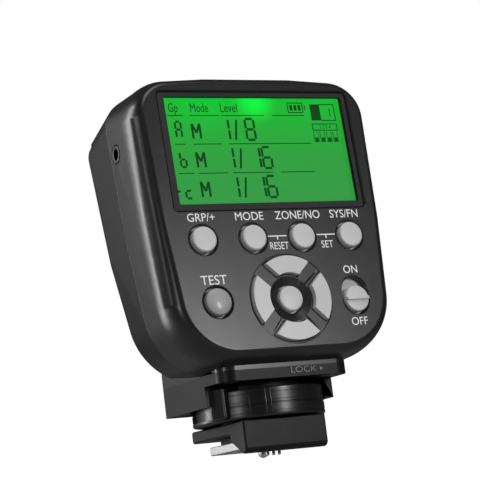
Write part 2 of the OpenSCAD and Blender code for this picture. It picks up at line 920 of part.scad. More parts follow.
module lock_ring() {
    color("black") {
        difference() {
            union() {
                translate([0, 0, ring_z]) cylinder(r = ring_r, h = ring_h);
                sector(ring_r + lug_out, ring_r - 2, lug_from, lug_to, lug_z, lug_top - lug_z);
            }
            translate([0, 0, ring_z - more]) cylinder(r = post_r + turn_gap, h = far);
            translate([0, 0, ring_z - more]) cylinder(r = cam_out_r, h = cam_roof - ring_z + more);
            sector(far, ring_r - grip_in, grip_from, lug_from - 0.5, ring_z + grip_rim, ring_h - 2 * grip_rim);
            sector(far, ring_r - grip_in, lug_to + 0.5, grip_to, ring_z + grip_rim, ring_h - 2 * grip_rim);
            sector(far, ring_r - groove_in, -180, grip_from - 2, groove_z, groove_h);
        }
        for (a = ridge_angles)
            sector(ring_r + 0.1, ring_r - grip_in - 0.5, a - ridge_turn / 2, a + ridge_turn / 2, ring_z + 0.3, ring_h - 0.6);
        lock_cam();
    }
}

module ring_spacer() {
    color("gray") translate([0, 0, ring_top + 0.1]) ring_solid(cam_out_r, post_r + turn_gap, flange_z - ring_top - 0.1);
}

module foot_base() {
    pocket_w = plate_w + 2 * cheek_gap;
    color("black") difference() {
        union() {
            translate([-base_w / 2, 0, 0]) rotate([90, 0, 90]) linear_extrude(base_w) polygon([
                [base_front, base_top], [base_front, stop_z + stop_bevel], [base_front + stop_bevel, stop_z],
                [base_front + stop_flat, stop_z], [cheek_back, cheek_top], [cheek_back, waist_top],
                [base_back, waist_top], [base_back, base_top]
            ]);
            translate([0, 0, base_top - skin]) cylinder(r = post_r, h = flange_z - base_top + skin);
        }
        difference() {
            translate([-pocket_w / 2, base_front + stop_t, stop_z - more])
                cube([pocket_w, far, waist_top - stop_z + more]);
            translate([-waist_w / 2, -plate_l / 2, plate_t]) cube([waist_w, plate_l, far]);
        }
        translate([0, 0, foot_board_z]) cylinder(r = post_bore_r, h = far);
        translate([0, 0, block_top]) cylinder(r = well_r, h = far);
        contact_space(block_fit);
        for (x = [-1, 1], y = [-1, 1]) translate([x * plate_screw[0], y * plate_screw[1], 0])
            cylinder(r = plate_screw_r, h = plate_screw_top);
        for (a = [30, 150, 270]) rotate([0, 0, a]) translate([post_screw_at, 0, base_top + 1.8])
            cylinder(r = post_screw_r + 0.05, h = far);
        translate([0, lock_pin_y, 0]) {
            cylinder(r = lock_pin_r + turn_gap, h = far);
            translate([0, 0, pin_spring_z]) cylinder(r = pin_spring_r + 0.1, h = arm_z + arm_t + slide_gap - pin_spring_z);
        }
        translate([-arm_w / 2 - slide_gap, lock_pin_y - lock_pin_r - slide_gap, arm_floor])
            cube([arm_w + 2 * slide_gap, arm_end + 0.4 - lock_pin_y + lock_pin_r, arm_z + arm_t + slide_gap - arm_floor]);
    }
}

module contact_space(fit) {
    translate([-block_w / 2 - fit, block_front - fit, block_low - more])
        cube([block_w + 2 * fit, block_back - block_front + 2 * fit, block_top - block_low + more + skin]);
}

module shoe_plate() {
    color("silver") difference() {
        hull() {
            translate([-plate_w / 2 + bevel, -plate_l / 2 + bevel, 0])
                cube([plate_w - 2 * bevel, plate_l - 2 * bevel, plate_t]);
            translate([-plate_w / 2, -plate_l / 2, bevel]) cube([plate_w, plate_l, plate_t - 2 * bevel]);
        }
        contact_space(block_fit);
        translate([0, lock_pin_y, -more]) cylinder(r = lock_pin_r + turn_gap, h = far);
        for (x = [-1, 1], y = [-1, 1]) translate([x * plate_screw[0], y * plate_screw[1], 0]) {
            translate([0, 0, -more]) cylinder(r = plate_screw_r + 0.05, h = far);
            translate([0, 0, -skin]) cylinder(r1 = plate_screw_head_r + 0.1, r2 = plate_screw_r, h = 1);
        }
    }
}

module plate_screws() {
    color("silver") for (x = [-1, 1], y = [-1, 1]) translate([x * plate_screw[0], y * plate_screw[1], 0.1]) {
        cylinder(r = plate_screw_r - 0.05, h = plate_screw_top - 0.3);
        cylinder(r1 = plate_screw_head_r - 0.05, r2 = plate_screw_r - 0.05, h = 0.8);
    }
}

module contact_block() {
    color([0.15, 0.15, 0.15]) difference() {
        translate([-block_w / 2, block_front, block_low]) cube([block_w, block_back - block_front, block_top - block_low]);
        translate([0, centre_contact_y, -more]) cylinder(r = centre_contact_r + turn_gap, h = far);
        for (x = data_x) translate([x, data_pin_y, -more]) cylinder(r = data_pin_r + turn_gap, h = far);
    }
}

// Contact pin with a round tip and the collar that keeps it in its block
module contact_pin(x, y, r, tip, collar_r) {
    translate([x, y, 0]) {
        translate([0, 0, tip + r]) sphere(r = r);
        translate([0, 0, tip + r]) cylinder(r = r, h = block_top + collar_t - tip - r);
        translate([0, 0, block_top + 0.02]) cylinder(r = collar_r, h = collar_t);
    }
}

// Coil spring as a stack of rings
module coil(x, y, r, wire, z0, z1) {
    pitch = (z1 - z0 - 2 * wire) / (spring_turns - 1);
    translate([x, y, z0 + wire]) for (k = [0 : spring_turns - 1]) translate([0, 0, k * pitch])
        rotate_extrude() translate([r, 0]) circle(r = wire, $fn = 13);
}

module centre_contact() {
    color("gold") contact_pin(0, centre_contact_y, centre_contact_r, centre_tip, centre_collar_r);
}

module centre_spring() {
    color("silver") coil(0, centre_contact_y, 1.2, 0.15, block_top + collar_t + 0.05, foot_board_z);
}

module data_pin(k) {
    color("silver") contact_pin(data_x[k], data_pin_y, data_pin_r, data_tip, data_collar_r);
}

module data_spring(k) {
    color("silver") coil(data_x[k], data_pin_y, 0.42, 0.1, block_top + collar_t + 0.05, foot_board_z);
}

module foot_board() {
    color("darkgreen") translate([0, 0, foot_board_z]) cylinder(r = post_bore_r - 0.1, h = foot_board_t);
}

module foot_ribbon() {
    low = foot_board_z + foot_board_t;
    t = 0.3;
    y = -3;
    color("ivory") translate([-3, 0, 0]) rotate([90, 0, 90]) linear_extrude(6) polygon([
        [y, low], [y + t, low], [y + t, flange_top], [-11.7, 23.1], [-12, 22.9], [y, flange_top - t]
    ]);
}

module lock_pin() {
    color("silver") {
        translate([0, lock_pin_y, lock_pin_rest]) cylinder(r = lock_pin_r, h = arm_z + arm_t - lock_pin_rest);
        translate([-arm_w / 2, lock_pin_y - lock_pin_r, arm_z]) cube([arm_w, arm_end - lock_pin_y + lock_pin_r, arm_t]);
    }
}

module lock_pin_spring() {
    color("silver") coil(0, lock_pin_y, 1.1, 0.13, pin_spring_z, arm_z);
}

front_shell();
rear_shell();
battery_door();
case_screws();
display_window();
display_frame();
display_glass();
backlight();
display_strip();
main_board();
controller_chip();
radio_module();
antenna();
tact_switches();
board_screws();
test_lamp();
power_switch();
power_knob();
sync_jack();
jack_ring();
key_group();
key_mode();
key_zoom();
key_function();
key_right();
key_up();
key_left();
key_down();
key_centre();
key_test();
battery_lower();
battery_upper();
battery_springs();
battery_contacts();
foot_flange();
lock_ring();
ring_spacer();
foot_base();
flange_screws();
post_screws();
shoe_plate();
plate_screws();
contact_block();
foot_board();
foot_ribbon();
centre_contact();
centre_spring();
data_pin(0);  // data_pin_1
data_pin(1);  // data_pin_2
data_pin(2);  // data_pin_3
data_pin(3);  // data_pin_4
data_spring(0);  // data_spring_1
data_spring(1);  // data_spring_2
data_spring(2);  // data_spring_3
data_spring(3);  // data_spring_4
lock_pin();
lock_pin_spring();
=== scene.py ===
# %% [markdown]
# # A wireless flash trigger
# This notebook builds the looks of a small radio trigger that slides into a camera's shoe.
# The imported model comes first. It holds every part at its place and size, and every motion.
# Each piece that shows is then modelled again with soft edges, or dressed as it is.

# %% Load the frame
from math import cos, pi, radians, sin, sqrt

import bmesh
import bpy
from mathutils import Matrix, Vector


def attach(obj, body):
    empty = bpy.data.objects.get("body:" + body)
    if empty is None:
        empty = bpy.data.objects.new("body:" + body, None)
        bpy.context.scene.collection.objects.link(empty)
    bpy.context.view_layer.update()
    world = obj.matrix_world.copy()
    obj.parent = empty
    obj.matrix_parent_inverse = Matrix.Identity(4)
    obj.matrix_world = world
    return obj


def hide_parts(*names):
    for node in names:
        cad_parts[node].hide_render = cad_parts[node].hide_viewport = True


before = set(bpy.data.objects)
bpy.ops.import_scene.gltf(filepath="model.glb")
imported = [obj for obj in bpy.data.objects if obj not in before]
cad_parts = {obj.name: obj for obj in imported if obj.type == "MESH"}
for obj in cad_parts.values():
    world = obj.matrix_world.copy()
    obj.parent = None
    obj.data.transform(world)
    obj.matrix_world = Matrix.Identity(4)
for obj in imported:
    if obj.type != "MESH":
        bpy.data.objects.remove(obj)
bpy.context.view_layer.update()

# %% [markdown]
# ## The leaning face
# The body leans back a little over its foot. It is easiest to draw it flat: x across, y up the
# face and z out of it, in millimetres from the middle of the arrow keys. One matrix then turns
# the drawing into its place in the frame, in metres. A second one only turns millimetres into metres,
# for the pieces of the foot, which stand upright.

# %% Places and sizes that every piece shares, in millimetres
MM = 0.001
LEAN = 5.2
FACE_Y = 21.2
FACE_Z = 32.0
FACE = (
    Matrix.Translation((0, -FACE_Y * MM, FACE_Z * MM))
    @ Matrix.Rotation(radians(90 - LEAN), 4, "X")
    @ Matrix.Scale(MM, 4)
)
FOOT = Matrix.Scale(MM, 4)

BODY_W = 61.2
BODY_X = -0.4
BODY_LOW_W = 57.8
BODY_TOP = 54.4
BODY_BOTTOM = 13.5
BODY_DEEP = 38.0
SEAM = 16.5
WALL = 1.8
EDGE_DEEP = 8.0

PAD_X = 0.75
KEY_PITCH = 12.6
KEY_ROW_Y = 14.4
KEY_ROW = [step * KEY_PITCH for step in (-1.5, -0.5, 0.5, 1.5)]
TEST_AT = (-17.7, 0.0)
POWER_X = 17.65

VIEW_W = 46.4
VIEW_H = 25.7
VIEW_Y = 35.6

# %% [markdown]
# ## Small tools for the bench
# An operator works on all that is selected, so each helper starts from nothing selected.
# A primitive is added, edited, and its modifiers are applied at once, so that a finished
# piece is a plain mesh whose object sits at the origin.

# %% Bench tools
def clear():
    """Leave nothing selected and no mode open."""
    if bpy.context.mode != "OBJECT":
        bpy.ops.object.mode_set(mode="OBJECT")
    bpy.ops.object.select_all(action="DESELECT")


def pick(piece):
    """Make one piece the only selected and the active one."""
    clear()
    piece.select_set(True)
    bpy.context.view_layer.objects.active = piece


def named(name):
    """Name the new primitive and put its place into its mesh."""
    piece = bpy.context.object
    piece.name = name
    piece.data.name = name
    bpy.ops.object.transform_apply(location=True, rotation=True, scale=True)
    return piece


def block(name, x0, x1, y0, y1, z0, z1):
    """A box between three pairs of limits."""
    clear()
    bpy.ops.mesh.primitive_cube_add(
        size=1, location=((x0 + x1) / 2, (y0 + y1) / 2, (z0 + z1) / 2)
    )
    bpy.context.object.scale = (x1 - x0, y1 - y0, z1 - z0)
    return named(name)


def rod(name, x, y, r, z0, z1, sides=96):
    """An upright round rod."""
    clear()
    bpy.ops.mesh.primitive_cylinder_add(
        vertices=sides, radius=r, depth=z1 - z0, location=(x, y, (z0 + z1) / 2)
    )
    return named(name)


def modify(piece, kind, **settings):
    """Add a modifier, set it and apply it."""
    pick(piece)
    bpy.ops.object.modifier_add(type=kind)
    modifier = piece.modifiers[-1]
    for key, value in settings.items():
        setattr(modifier, key, value)
    bpy.ops.object.modifier_apply(modifier=modifier.name)
    return piece


def boolean(piece, tool, operation):
    """Cut, join or trim a piece with a tool, which is used up."""
    modify(piece, "BOOLEAN", operation=operation, object=tool, solver="EXACT")
    bpy.data.objects.remove(tool)
    return piece


def cut(piece, *tools):
    for tool in tools:
        boolean(piece, tool, "DIFFERENCE")
    return piece


def soften(piece, width, segments=3, angle=40):
    """Round all sharp edges by the same small width."""
    return modify(
        piece, "BEVEL", width=width, segments=segments, limit_method="ANGLE",
        angle_limit=radians(angle), harden_normals=False, use_clamp_overlap=True,
    )


def join(name, *parts):
    """Make several meshes one piece."""
    clear()
    for part in parts:
        part.select_set(True)
    bpy.context.view_layer.objects.active = parts[0]
    if len(parts) > 1:
        bpy.ops.object.join()
    parts[0].name = name
    return parts[0]


def finish_piece(piece, body, finish, place=FACE, stands_for=(), angle=28):
    """Put a finished piece in its place, shade it, dress it and let it ride on its body."""
    piece.data.transform(place)
    pick(piece)
    bpy.ops.object.shade_smooth_by_angle(angle=radians(angle))
    modify(piece, "WEIGHTED_NORMAL", keep_sharp=True, weight=80)
    piece.data.materials.clear()
    piece.data.materials.append(finish)
    if stands_for:
        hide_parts(*stands_for)
    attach(piece, body)
    return piece


# %% [markdown]
# ## Turned shapes
# Buttons, rings and pins are round, so each is one profile turned about an axis.
# The profile starts as a single point, which is extruded from corner to corner,
# and the spin operator carries it round. Where the profile meets the axis, the doubles are merged.

# %% The lathe
def lathe(name, profile, x=0.0, y=0.0, steps=96, turn=360.0, start=0.0):
    """Turn a profile of (radius, height) corners about an upright axis at x, y."""
    clear()
    bpy.ops.mesh.primitive_plane_add(size=1)
    piece = named(name)
    bpy.ops.object.mode_set(mode="EDIT")
    bpy.ops.mesh.select_all(action="SELECT")
    bpy.ops.mesh.merge(type="CENTER")
    first = Matrix.Rotation(radians(start), 3, "Z")
    mesh = bmesh.from_edit_mesh(piece.data)
    mesh.verts.ensure_lookup_table()
    mesh.verts[0].co = first @ Vector((profile[0][0], 0, profile[0][1]))
    bmesh.update_edit_mesh(piece.data)
    for (r0, z0), (r1, z1) in zip(profile, profile[1:]):
        step = first @ Vector((r1 - r0, 0, z1 - z0))
        bpy.ops.mesh.extrude_region_move(TRANSFORM_OT_translate={"value": step})
    bpy.ops.mesh.select_all(action="SELECT")
    bpy.ops.mesh.spin(
        steps=steps, angle=radians(turn), center=(0, 0, 0), axis=(0, 0, 1)
    )
    bpy.ops.mesh.select_all(action="SELECT")
    bpy.ops.mesh.remove_doubles(threshold=0.0005)
    if turn != 360:
        bpy.ops.mesh.select_all(action="DESELECT")
        bpy.ops.mesh.select_non_manifold(extend=False)
        bpy.ops.mesh.fill_holes(sides=0)
        bpy.ops.mesh.select_all(action="SELECT")
    bpy.ops.mesh.normals_make_consistent(inside=False)
    bpy.ops.object.mode_set(mode="OBJECT")
    piece.data.transform(Matrix.Translation((x, y, 0)))
    return piece


def arc(cx, cy, r, start, end, steps=6):
    """Points along an arc, for a rounded stretch of a profile."""
    turns = [radians(start + (end - start) * k / steps) for k in range(steps + 1)]
    return [(cx + r * cos(t), cy + r * sin(t)) for t in turns]


# %% [markdown]
# ## Finishes
# Each finish is a small graph. A class wraps one socket so that a pattern can be written as a sum,
# and one method adds any node, with its settings first and its sockets after.
# All patterns read object coordinates, in metres, so they stay on the piece when it moves.

# %% Shader sums
class Value:
    """One output socket that can stand in a sum."""

    def __init__(self, finish, socket):
        self.finish = finish
        self.socket = socket

    def _with(self, operation, first, second):
        return self.finish.add("ShaderNodeMath", {"operation": operation}, {0: first, 1: second})

    def __add__(self, other):
        return self._with("ADD", self, other)

    __radd__ = __add__

    def __sub__(self, other):
        return self._with("SUBTRACT", self, other)

    def __rsub__(self, other):
        return self._with("SUBTRACT", other, self)

    def __mul__(self, other):
        return self._with("MULTIPLY", self, other)

    __rmul__ = __mul__


class Finish:
    """A material with one Principled shader."""

    def __init__(self, name, **sockets):
        self.material = bpy.data.materials.new(name)
        self.material.use_nodes = True
        self.tree = self.material.node_tree
        self.shader = self.tree.nodes["Principled BSDF"]
        for key, value in sockets.items():
            self.set(key.replace("_", " "), value)

    def set(self, socket, value):
        if isinstance(value, Value):
            self.tree.links.new(value.socket, self.shader.inputs[socket])
        else:
            self.shader.inputs[socket].default_value = value

    def add(self, kind, settings=None, sockets=None, out=0):
        node = self.tree.nodes.new(kind)
        for key, value in (settings or {}).items():
            if key == "stops":
                ramp = node.color_ramp
                ramp.elements[0].position, ramp.elements[0].color = value[0]
                ramp.elements[1].position, ramp.elements[1].color = value[-1]
                for place, colour in value[1:-1]:
                    ramp.elements.new(place).color = colour
            else:
                setattr(node, key, value)
        for key, value in (sockets or {}).items():
            if isinstance(value, Value):
                self.tree.links.new(value.socket, node.inputs[key])
            else:
                node.inputs[key].default_value = value
        return Value(self, node.outputs[out])

    def coords(self):
        return self.add("ShaderNodeTexCoord", out="Object")

    def noise(self, scale, detail=2.0, stretch=None):
        place = self.coords()
        if stretch:
            place = self.add("ShaderNodeMapping", None, {"Vector": place, "Scale": stretch})
        return self.add(
            "ShaderNodeTexNoise", None, {"Vector": place, "Scale": scale, "Detail": detail}, out="Fac"
        )

    def mix(self, share, first, second):
        settings = {"data_type": "RGBA"}
        return self.add("ShaderNodeMix", settings, {"Factor": share, 6: first, 7: second}, out=2)

    def bump(self, height, depth, strength=1.0):
        sockets = {"Height": height, "Distance": depth, "Strength": strength}
        self.set("Normal", self.add("ShaderNodeBump", None, sockets))


def grey(v, warm=0.0):
    """A grey that leans a little towards red or blue."""
    return (v * (1 + warm), v, v * (1 - warm), 1.0)


# %% [markdown]
# Moulded plastic is never one flat tone. The tool leaves a fine grain, the flow of the melt
# leaves slow changes of tone, and handling polishes it in patches. The three scales are
# three noises: a fine one for the bump and the roughness, a slow one for the colour,
# and a middle one for the patches.

# %% Plastic finishes
def plastic(name, tone, rough, grain=2600, depth=0.00002, warm=0.0, spread=0.12, specular=0.5, coat=0.0):
    finish = Finish(name, Specular_IOR_Level=specular, Coat_Weight=coat, Coat_Roughness=0.12)
    fine = finish.noise(grain, 2.0)
    slow = finish.noise(70, 2.0)
    patch = finish.noise(420, 3.0)
    dark, light = (grey(tone * share, warm) for share in (1 - spread, 1 + spread))
    finish.set("Base Color", finish.mix(slow, dark, light))
    finish.set("Roughness", rough - 0.06 + 0.06 * fine + 0.08 * patch)
    finish.bump(fine + 0.4 * patch, depth)
    return finish.material


CASE = plastic("case_plastic", 0.013, 0.29, grain=3000, depth=0.000004, specular=0.45)
FOOT_PLASTIC = plastic("foot_plastic", 0.008, 0.40, grain=3800, depth=0.000014, specular=0.2)
RING = plastic("ring_plastic", 0.008, 0.30, grain=5200, depth=0.000004, specular=0.55)
KEY = plastic("key_plastic", 0.58, 0.38, grain=4200, depth=0.000008, warm=-0.004, spread=0.03)
BLACK = plastic("black_plastic", 0.012, 0.5, grain=3400, depth=0.00001)
# The raised word's lighter tone is a painted highlight: the relief is the flange's dark plastic, lit at its
# edges.
PAINTED_HIGHLIGHT_PLASTIC = plastic("raised_word_painted_highlight", 0.12, 0.25, grain=3400, depth=0.000006)
SHADOW = plastic("shadow_plastic", 0.006, 0.65, grain=3400, depth=0.00001)
INK = plastic("white_ink", 0.92, 0.5, grain=6000, depth=0.000003, spread=0.03)
print("plastics:", [m.name for m in (CASE, FOOT_PLASTIC, RING, KEY, BLACK, SHADOW, INK)])

# %% [markdown]
# Metals are brighter and show how they were worked. The shoe plate is drawn along one way, so its
# noise is stretched into long streaks. The spring steel and the gold plate only have a fine haze.

# %% Metal finishes
def metal(name, colour, rough, stretch=(1, 1, 1), scale=2200, depth=0.000004):
    finish = Finish(name, Metallic=1.0)
    streak = finish.noise(scale, 3.0, stretch)
    cloud = finish.noise(160, 2.0)
    dark = tuple(0.86 * c for c in colour) + (1.0,)
    finish.set("Base Color", finish.mix(cloud, dark, colour + (1.0,)))
    finish.set("Roughness", rough - 0.06 + 0.14 * streak)
    finish.bump(streak, depth)
    return finish.material


PLATE = metal("plate_metal", (0.62, 0.62, 0.63), 0.34, stretch=(0.05, 1.0, 1.0))
STEEL = metal("steel", (0.58, 0.58, 0.60), 0.28)
GOLD = metal("brass", (0.80, 0.64, 0.36), 0.24)
print("metals:", PLATE.name, STEEL.name, GOLD.name)

# %% [markdown]
# The test key is a milky, slightly see-through cap. A thin coat over a soft grey gives
# its moist look without the cost of real translucency. The display's window is clear acrylic:
# nearly nothing of it shows but a faint gloss, so it is a dark glossy film with low alpha.

# %% Clear and milky finishes
TEST_KEY = plastic("test_plastic", 0.34, 0.42, grain=1800, depth=0.000004, spread=0.05, coat=0.15)

window = Finish("clear_window", Roughness=0.06, Specular_IOR_Level=0.5)
window.set("Base Color", window.mix(window.noise(300), (0.02, 0.05, 0.02, 1), (0.03, 0.07, 0.03, 1)))
window.set("Alpha", 0.03 + 0.01 * window.noise(500))
WINDOW = window.material
WINDOW.blend_method = "BLEND"

# %% [markdown]
# The lit display is brightest at its top, where the lamps of its light guide sit, and one spot
# there is hottest. A ramp over the height gives the fall of the light, and a soft ball around the
# lamp's place adds the hot spot. Both are emission, over a dark green film.

# %% The display's light
def on_face(x, y, out):
    """A place drawn on the face, in metres of the frame."""
    return FACE @ Vector((x, y, out))


def ball(finish, at, radius):
    """One at a place, falling softly to nothing at a distance."""
    apart = finish.add(
        "ShaderNodeVectorMath", {"operation": "DISTANCE"}, {0: finish.coords(), 1: tuple(at)}, out="Value"
    )
    sockets = {"Value": apart, "From Min": 0.0, "From Max": radius, "To Min": 1.0, "To Max": 0.0}
    return finish.add("ShaderNodeMapRange", {"interpolation_type": "SMOOTHERSTEP"}, sockets)


GLASS_DEEP = 2.5
view_low = VIEW_Y - VIEW_H / 2
view_high = VIEW_Y + VIEW_H / 2

lcd = Finish("display_film", Roughness=0.4, Emission_Strength=1.0, Specular_IOR_Level=0.1)
height = lcd.add("ShaderNodeSeparateXYZ", None, {"Vector": lcd.coords()}, out="Z")
low_z = on_face(0, view_low, -GLASS_DEEP).z
high_z = on_face(0, view_high, -GLASS_DEEP).z
share = lcd.add("ShaderNodeMapRange", None, {"Value": height, "From Min": low_z, "From Max": high_z})
stops = [
    (0.00, (0.030, 0.310, 0.055, 1)),
    (0.45, (0.025, 0.345, 0.045, 1)),
    (0.80, (0.012, 0.430, 0.035, 1)),
    (1.00, (0.006, 0.520, 0.030, 1)),
]
glow = lcd.add("ShaderNodeValToRGB", {"stops": stops}, {"Fac": share}, out="Color")
hot = ball(lcd, on_face(1.2, view_high + 0.2, -GLASS_DEEP), 0.0075)
warm = ball(lcd, on_face(-12.0, view_high + 1.5, -GLASS_DEEP), 0.0125)
lit = lcd.mix(hot * 0.95, lcd.mix(warm * 0.6, glow, (0.0, 0.62, 0.04, 1)), (0.0, 1.0, 0.05, 1))
lcd.set("Emission Color", lit)
lcd.set("Base Color", lcd.mix(lcd.noise(900), (0.004, 0.03, 0.006, 1), (0.006, 0.04, 0.008, 1)))
LCD = lcd.material

segment = Finish("display_segment", Roughness=0.5, Emission_Strength=1.0, Specular_IOR_Level=0.05)
segment.set(
    "Emission Color",
    segment.mix(segment.noise(400), (0.002, 0.040, 0.005, 1), (0.003, 0.055, 0.007, 1)),
)
segment.set("Base Color", segment.mix(segment.noise(900), (0.004, 0.02, 0.006, 1), (0.006, 0.03, 0.008, 1)))
SEGMENT = segment.material
print("display from", round(low_z, 4), "to", round(high_z, 4))

# %% [markdown]
# ## Dressing the pieces that stay
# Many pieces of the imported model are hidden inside, or are right as they are: boards, cells,
# springs and screws. They keep their shape and only get a finish. The circuit boards are
# green lacquer with faint darker tracks, and the cells wear a plain printed sleeve.

# %% Finishes for the inner pieces
def bands(finish, direction, scale, width=0.5):
    """Stripes across one way, soft at their edges."""
    wave = finish.add(
        "ShaderNodeTexWave", {"wave_type": "BANDS", "bands_direction": direction},
        {"Vector": finish.coords(), "Scale": scale, "Distortion": 0.0}, out="Fac",
    )
    return finish.add("ShaderNodeMath", {"operation": "GREATER_THAN"}, {0: wave, 1: width})


board = Finish("board", Roughness=0.35, Coat_Weight=0.3)
tracks = bands(board, "X", 160, 0.8) * bands(board, "Z", 45, 0.2)
board.set("Base Color", board.mix(tracks, (0.010, 0.085, 0.030, 1), (0.030, 0.160, 0.060, 1)))
board.bump(tracks, 0.00003)
BOARD = board.material

sleeve = Finish("cell_wrap", Roughness=0.28, Coat_Weight=0.4)
place = sleeve.add("ShaderNodeSeparateXYZ", None, {"Vector": sleeve.coords()}, out="X")
printed = sleeve.add("ShaderNodeMath", {"operation": "GREATER_THAN"}, {0: place, 1: 0.008})
sleeve.set("Base Color", sleeve.mix(printed, (0.05, 0.055, 0.06, 1), (0.50, 0.30, 0.12, 1)))
SLEEVE = sleeve.material

ribbon = Finish("ribbon", Roughness=0.5)
ribbon.set("Base Color", ribbon.mix(bands(ribbon, "X", 260), (0.55, 0.55, 0.50, 1), (0.75, 0.75, 0.70, 1)))
RIBBON = ribbon.material

glow_guide = Finish("display_glow", Roughness=0.4)
glow_guide.set("Base Color", glow_guide.mix(glow_guide.noise(700), (0.5, 0.7, 0.5, 1), (0.6, 0.8, 0.6, 1)))
GUIDE = glow_guide.material

lamp = Finish("lamp_lens", Roughness=0.2, Coat_Weight=0.5)
lamp.set("Base Color", lamp.mix(lamp.noise(900), (0.40, 0.02, 0.02, 1), (0.55, 0.04, 0.03, 1)))
LAMP = lamp.material

STAYING = {
    BOARD: ["main_board", "foot_board"],
    SLEEVE: ["battery_lower", "battery_upper"],
    RIBBON: ["foot_ribbon"],
    GUIDE: ["backlight"],
    LAMP: ["test_lamp"],
    GOLD: ["antenna"],
    BLACK: [
        "controller_chip", "display_frame", "display_strip", "power_switch", "ring_spacer",
    ],
    STEEL: [
        "battery_contacts", "battery_springs", "board_screws", "case_screws", "centre_spring",
        "data_spring_1", "data_spring_2", "data_spring_3", "data_spring_4", "flange_screws",
        "lock_pin", "lock_pin_spring", "plate_screws", "post_screws", "radio_module", "tact_switches",
    ],
}
for finish, members in STAYING.items():
    for member in members:
        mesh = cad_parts[member].data
        mesh.materials.clear()
        mesh.materials.append(finish)
print("dressed", sum(len(m) for m in STAYING.values()), "pieces as they are")

# %% [markdown]
# ## The outline of the body
# Seen from the front the body is broad at its crown and drawn in at its foot, with large
# bends below. Each slice is the tight band around eight circles. For each direction the
# circle that reaches furthest gives one point, so every slice has the same number of points
# and they can be joined ring by ring.

# %% A slice of the body
CORNER = 9.5
SEAM_CORNER = 7.8
BACK_CORNER = 8.6
BEND = 15.0
BACK_BEND = 17.8
CROWN = 0.6
CROWN_X = 11.0
MID_R = 16.2
MID_Y = 20.0
MID_W = BODY_LOW_W + 0.7 * (BODY_W - BODY_LOW_W)
EDGE_IN = 2.6
LOW_EDGE_IN = 0.9
SIDE_IN = 1.6
BACK_R = 7.0
LOW_TAPER = 0.09
BACK_SLOPE = 0.08
AROUND = 128


def body_slice(out, inset, drop=0.0, squeeze=0.0, corner=CORNER, bend=BEND):
    """Points around one slice of the body, at a height out of the face."""
    circles = []
    for side in (-1, 1):
        circles += [
            (side * (BODY_W / 2 - corner), BODY_TOP - CROWN - corner - drop, corner - inset),
            (side * CROWN_X, BODY_TOP - corner - drop, corner - inset),
            (side * (MID_W / 2 - MID_R - squeeze / 2), MID_Y, MID_R - inset),
            (side * (BODY_LOW_W / 2 - bend - squeeze), bend - BODY_BOTTOM, bend - inset),
        ]
    points = []
    for k in range(AROUND):
        turn = 2 * pi * (k + 0.5) / AROUND
        nx, ny = cos(turn), sin(turn)
        cx, cy, r = max(circles, key=lambda c: c[0] * nx + c[1] * ny + c[2])
        points.append(Vector((BODY_X + cx + r * nx, cy + r * ny, out)))
    return points


def squeeze_at(depth):
    return LOW_TAPER * max(0.0, depth - EDGE_DEEP)


# %% [markdown]
# ## Lofting
# A circle is added with as many points as a slice has. Its edge is extruded once for each slice,
# and the new points are moved to their places on that slice. The two ends are filled last.

# %% The loft
def loft(name, rings):
    """A closed solid through rings that all have the same number of points."""
    clear()
    bpy.ops.mesh.primitive_circle_add(vertices=len(rings[0]), radius=1, fill_type="NOTHING")
    piece = named(name)
    for vert, at in zip(piece.data.vertices, rings[0]):
        vert.co = at
    bpy.ops.object.mode_set(mode="EDIT")
    bpy.ops.mesh.select_all(action="SELECT")
    for ring, after in zip(rings, rings[1:]):
        bpy.ops.mesh.extrude_region_move(TRANSFORM_OT_translate={"value": (0, 0, 0)})
        mesh = bmesh.from_edit_mesh(piece.data)
        for vert in [v for v in mesh.verts if v.select]:
            k = min(range(len(ring)), key=lambda n: (ring[n] - vert.co).length_squared)
            vert.co = after[k]
        bmesh.update_edit_mesh(piece.data)
    bpy.ops.mesh.select_all(action="DESELECT")
    bpy.ops.mesh.select_non_manifold(extend=False)
    bpy.ops.mesh.fill_holes(sides=0)
    bpy.ops.mesh.select_all(action="SELECT")
    bpy.ops.mesh.normals_make_consistent(inside=False)
    bpy.ops.object.mode_set(mode="OBJECT")
    return piece


def front_rings(t, steps=9):
    """Slices of the front part of the body, all faces moved inwards by t."""
    rings = []
    for k in range(steps + 1):
        turn = pi / 2 * k / steps
        depth = t + (EDGE_DEEP - t) * (1 - cos(turn))
        squeeze = LOW_EDGE_IN * (1 - sin(turn))
        rings.append(body_slice(-depth, t + EDGE_IN * (1 - sin(turn)), 0, squeeze))
    return rings


def seam_ring(depth, t):
    return body_slice(-depth, t, 0, squeeze_at(depth), SEAM_CORNER)


def rear_rings(t, steps=9):
    """Slices of the rear part of the body behind the seam, all faces moved inwards by t."""
    rings = []
    for k in range(steps + 1):
        turn = pi / 2 * k / steps
        depth = BODY_DEEP - BACK_R + (BACK_R - t) * sin(turn)
        inset = SIDE_IN + t + (BACK_R - t) * (1 - cos(turn))
        drop = BACK_SLOPE * (depth - SEAM) - SIDE_IN / 2
        rings.append(body_slice(-depth, inset, drop, squeeze_at(depth), BACK_CORNER, BACK_BEND))
    return rings


# %% [markdown]
# ## Neck
# Between the body and the round foot there is a square neck with rounded corners.
# Its shoulder rolls in at the top, where it meets the body. The two halves of the case share it,
# so it is cut by the plane of the seam, which leans with the face.

# %% The neck's rings
FLANGE_W = 33.2
FLANGE_R = 3.8
FLANGE_BACK_R = 1.4
FLANGE_Z = 14.8
FLANGE_TOP = 17.2
NECK_TOP = 20.5
NECK_CREST = 23.0
NECK_CREST_IN = 2.5
NECK_IN = 2.0
NECK_Y = -0.15
CORNER_STEPS = 9
FROM_FACE = FOOT.inverted() @ FACE
TO_FACE = FROM_FACE.inverted()


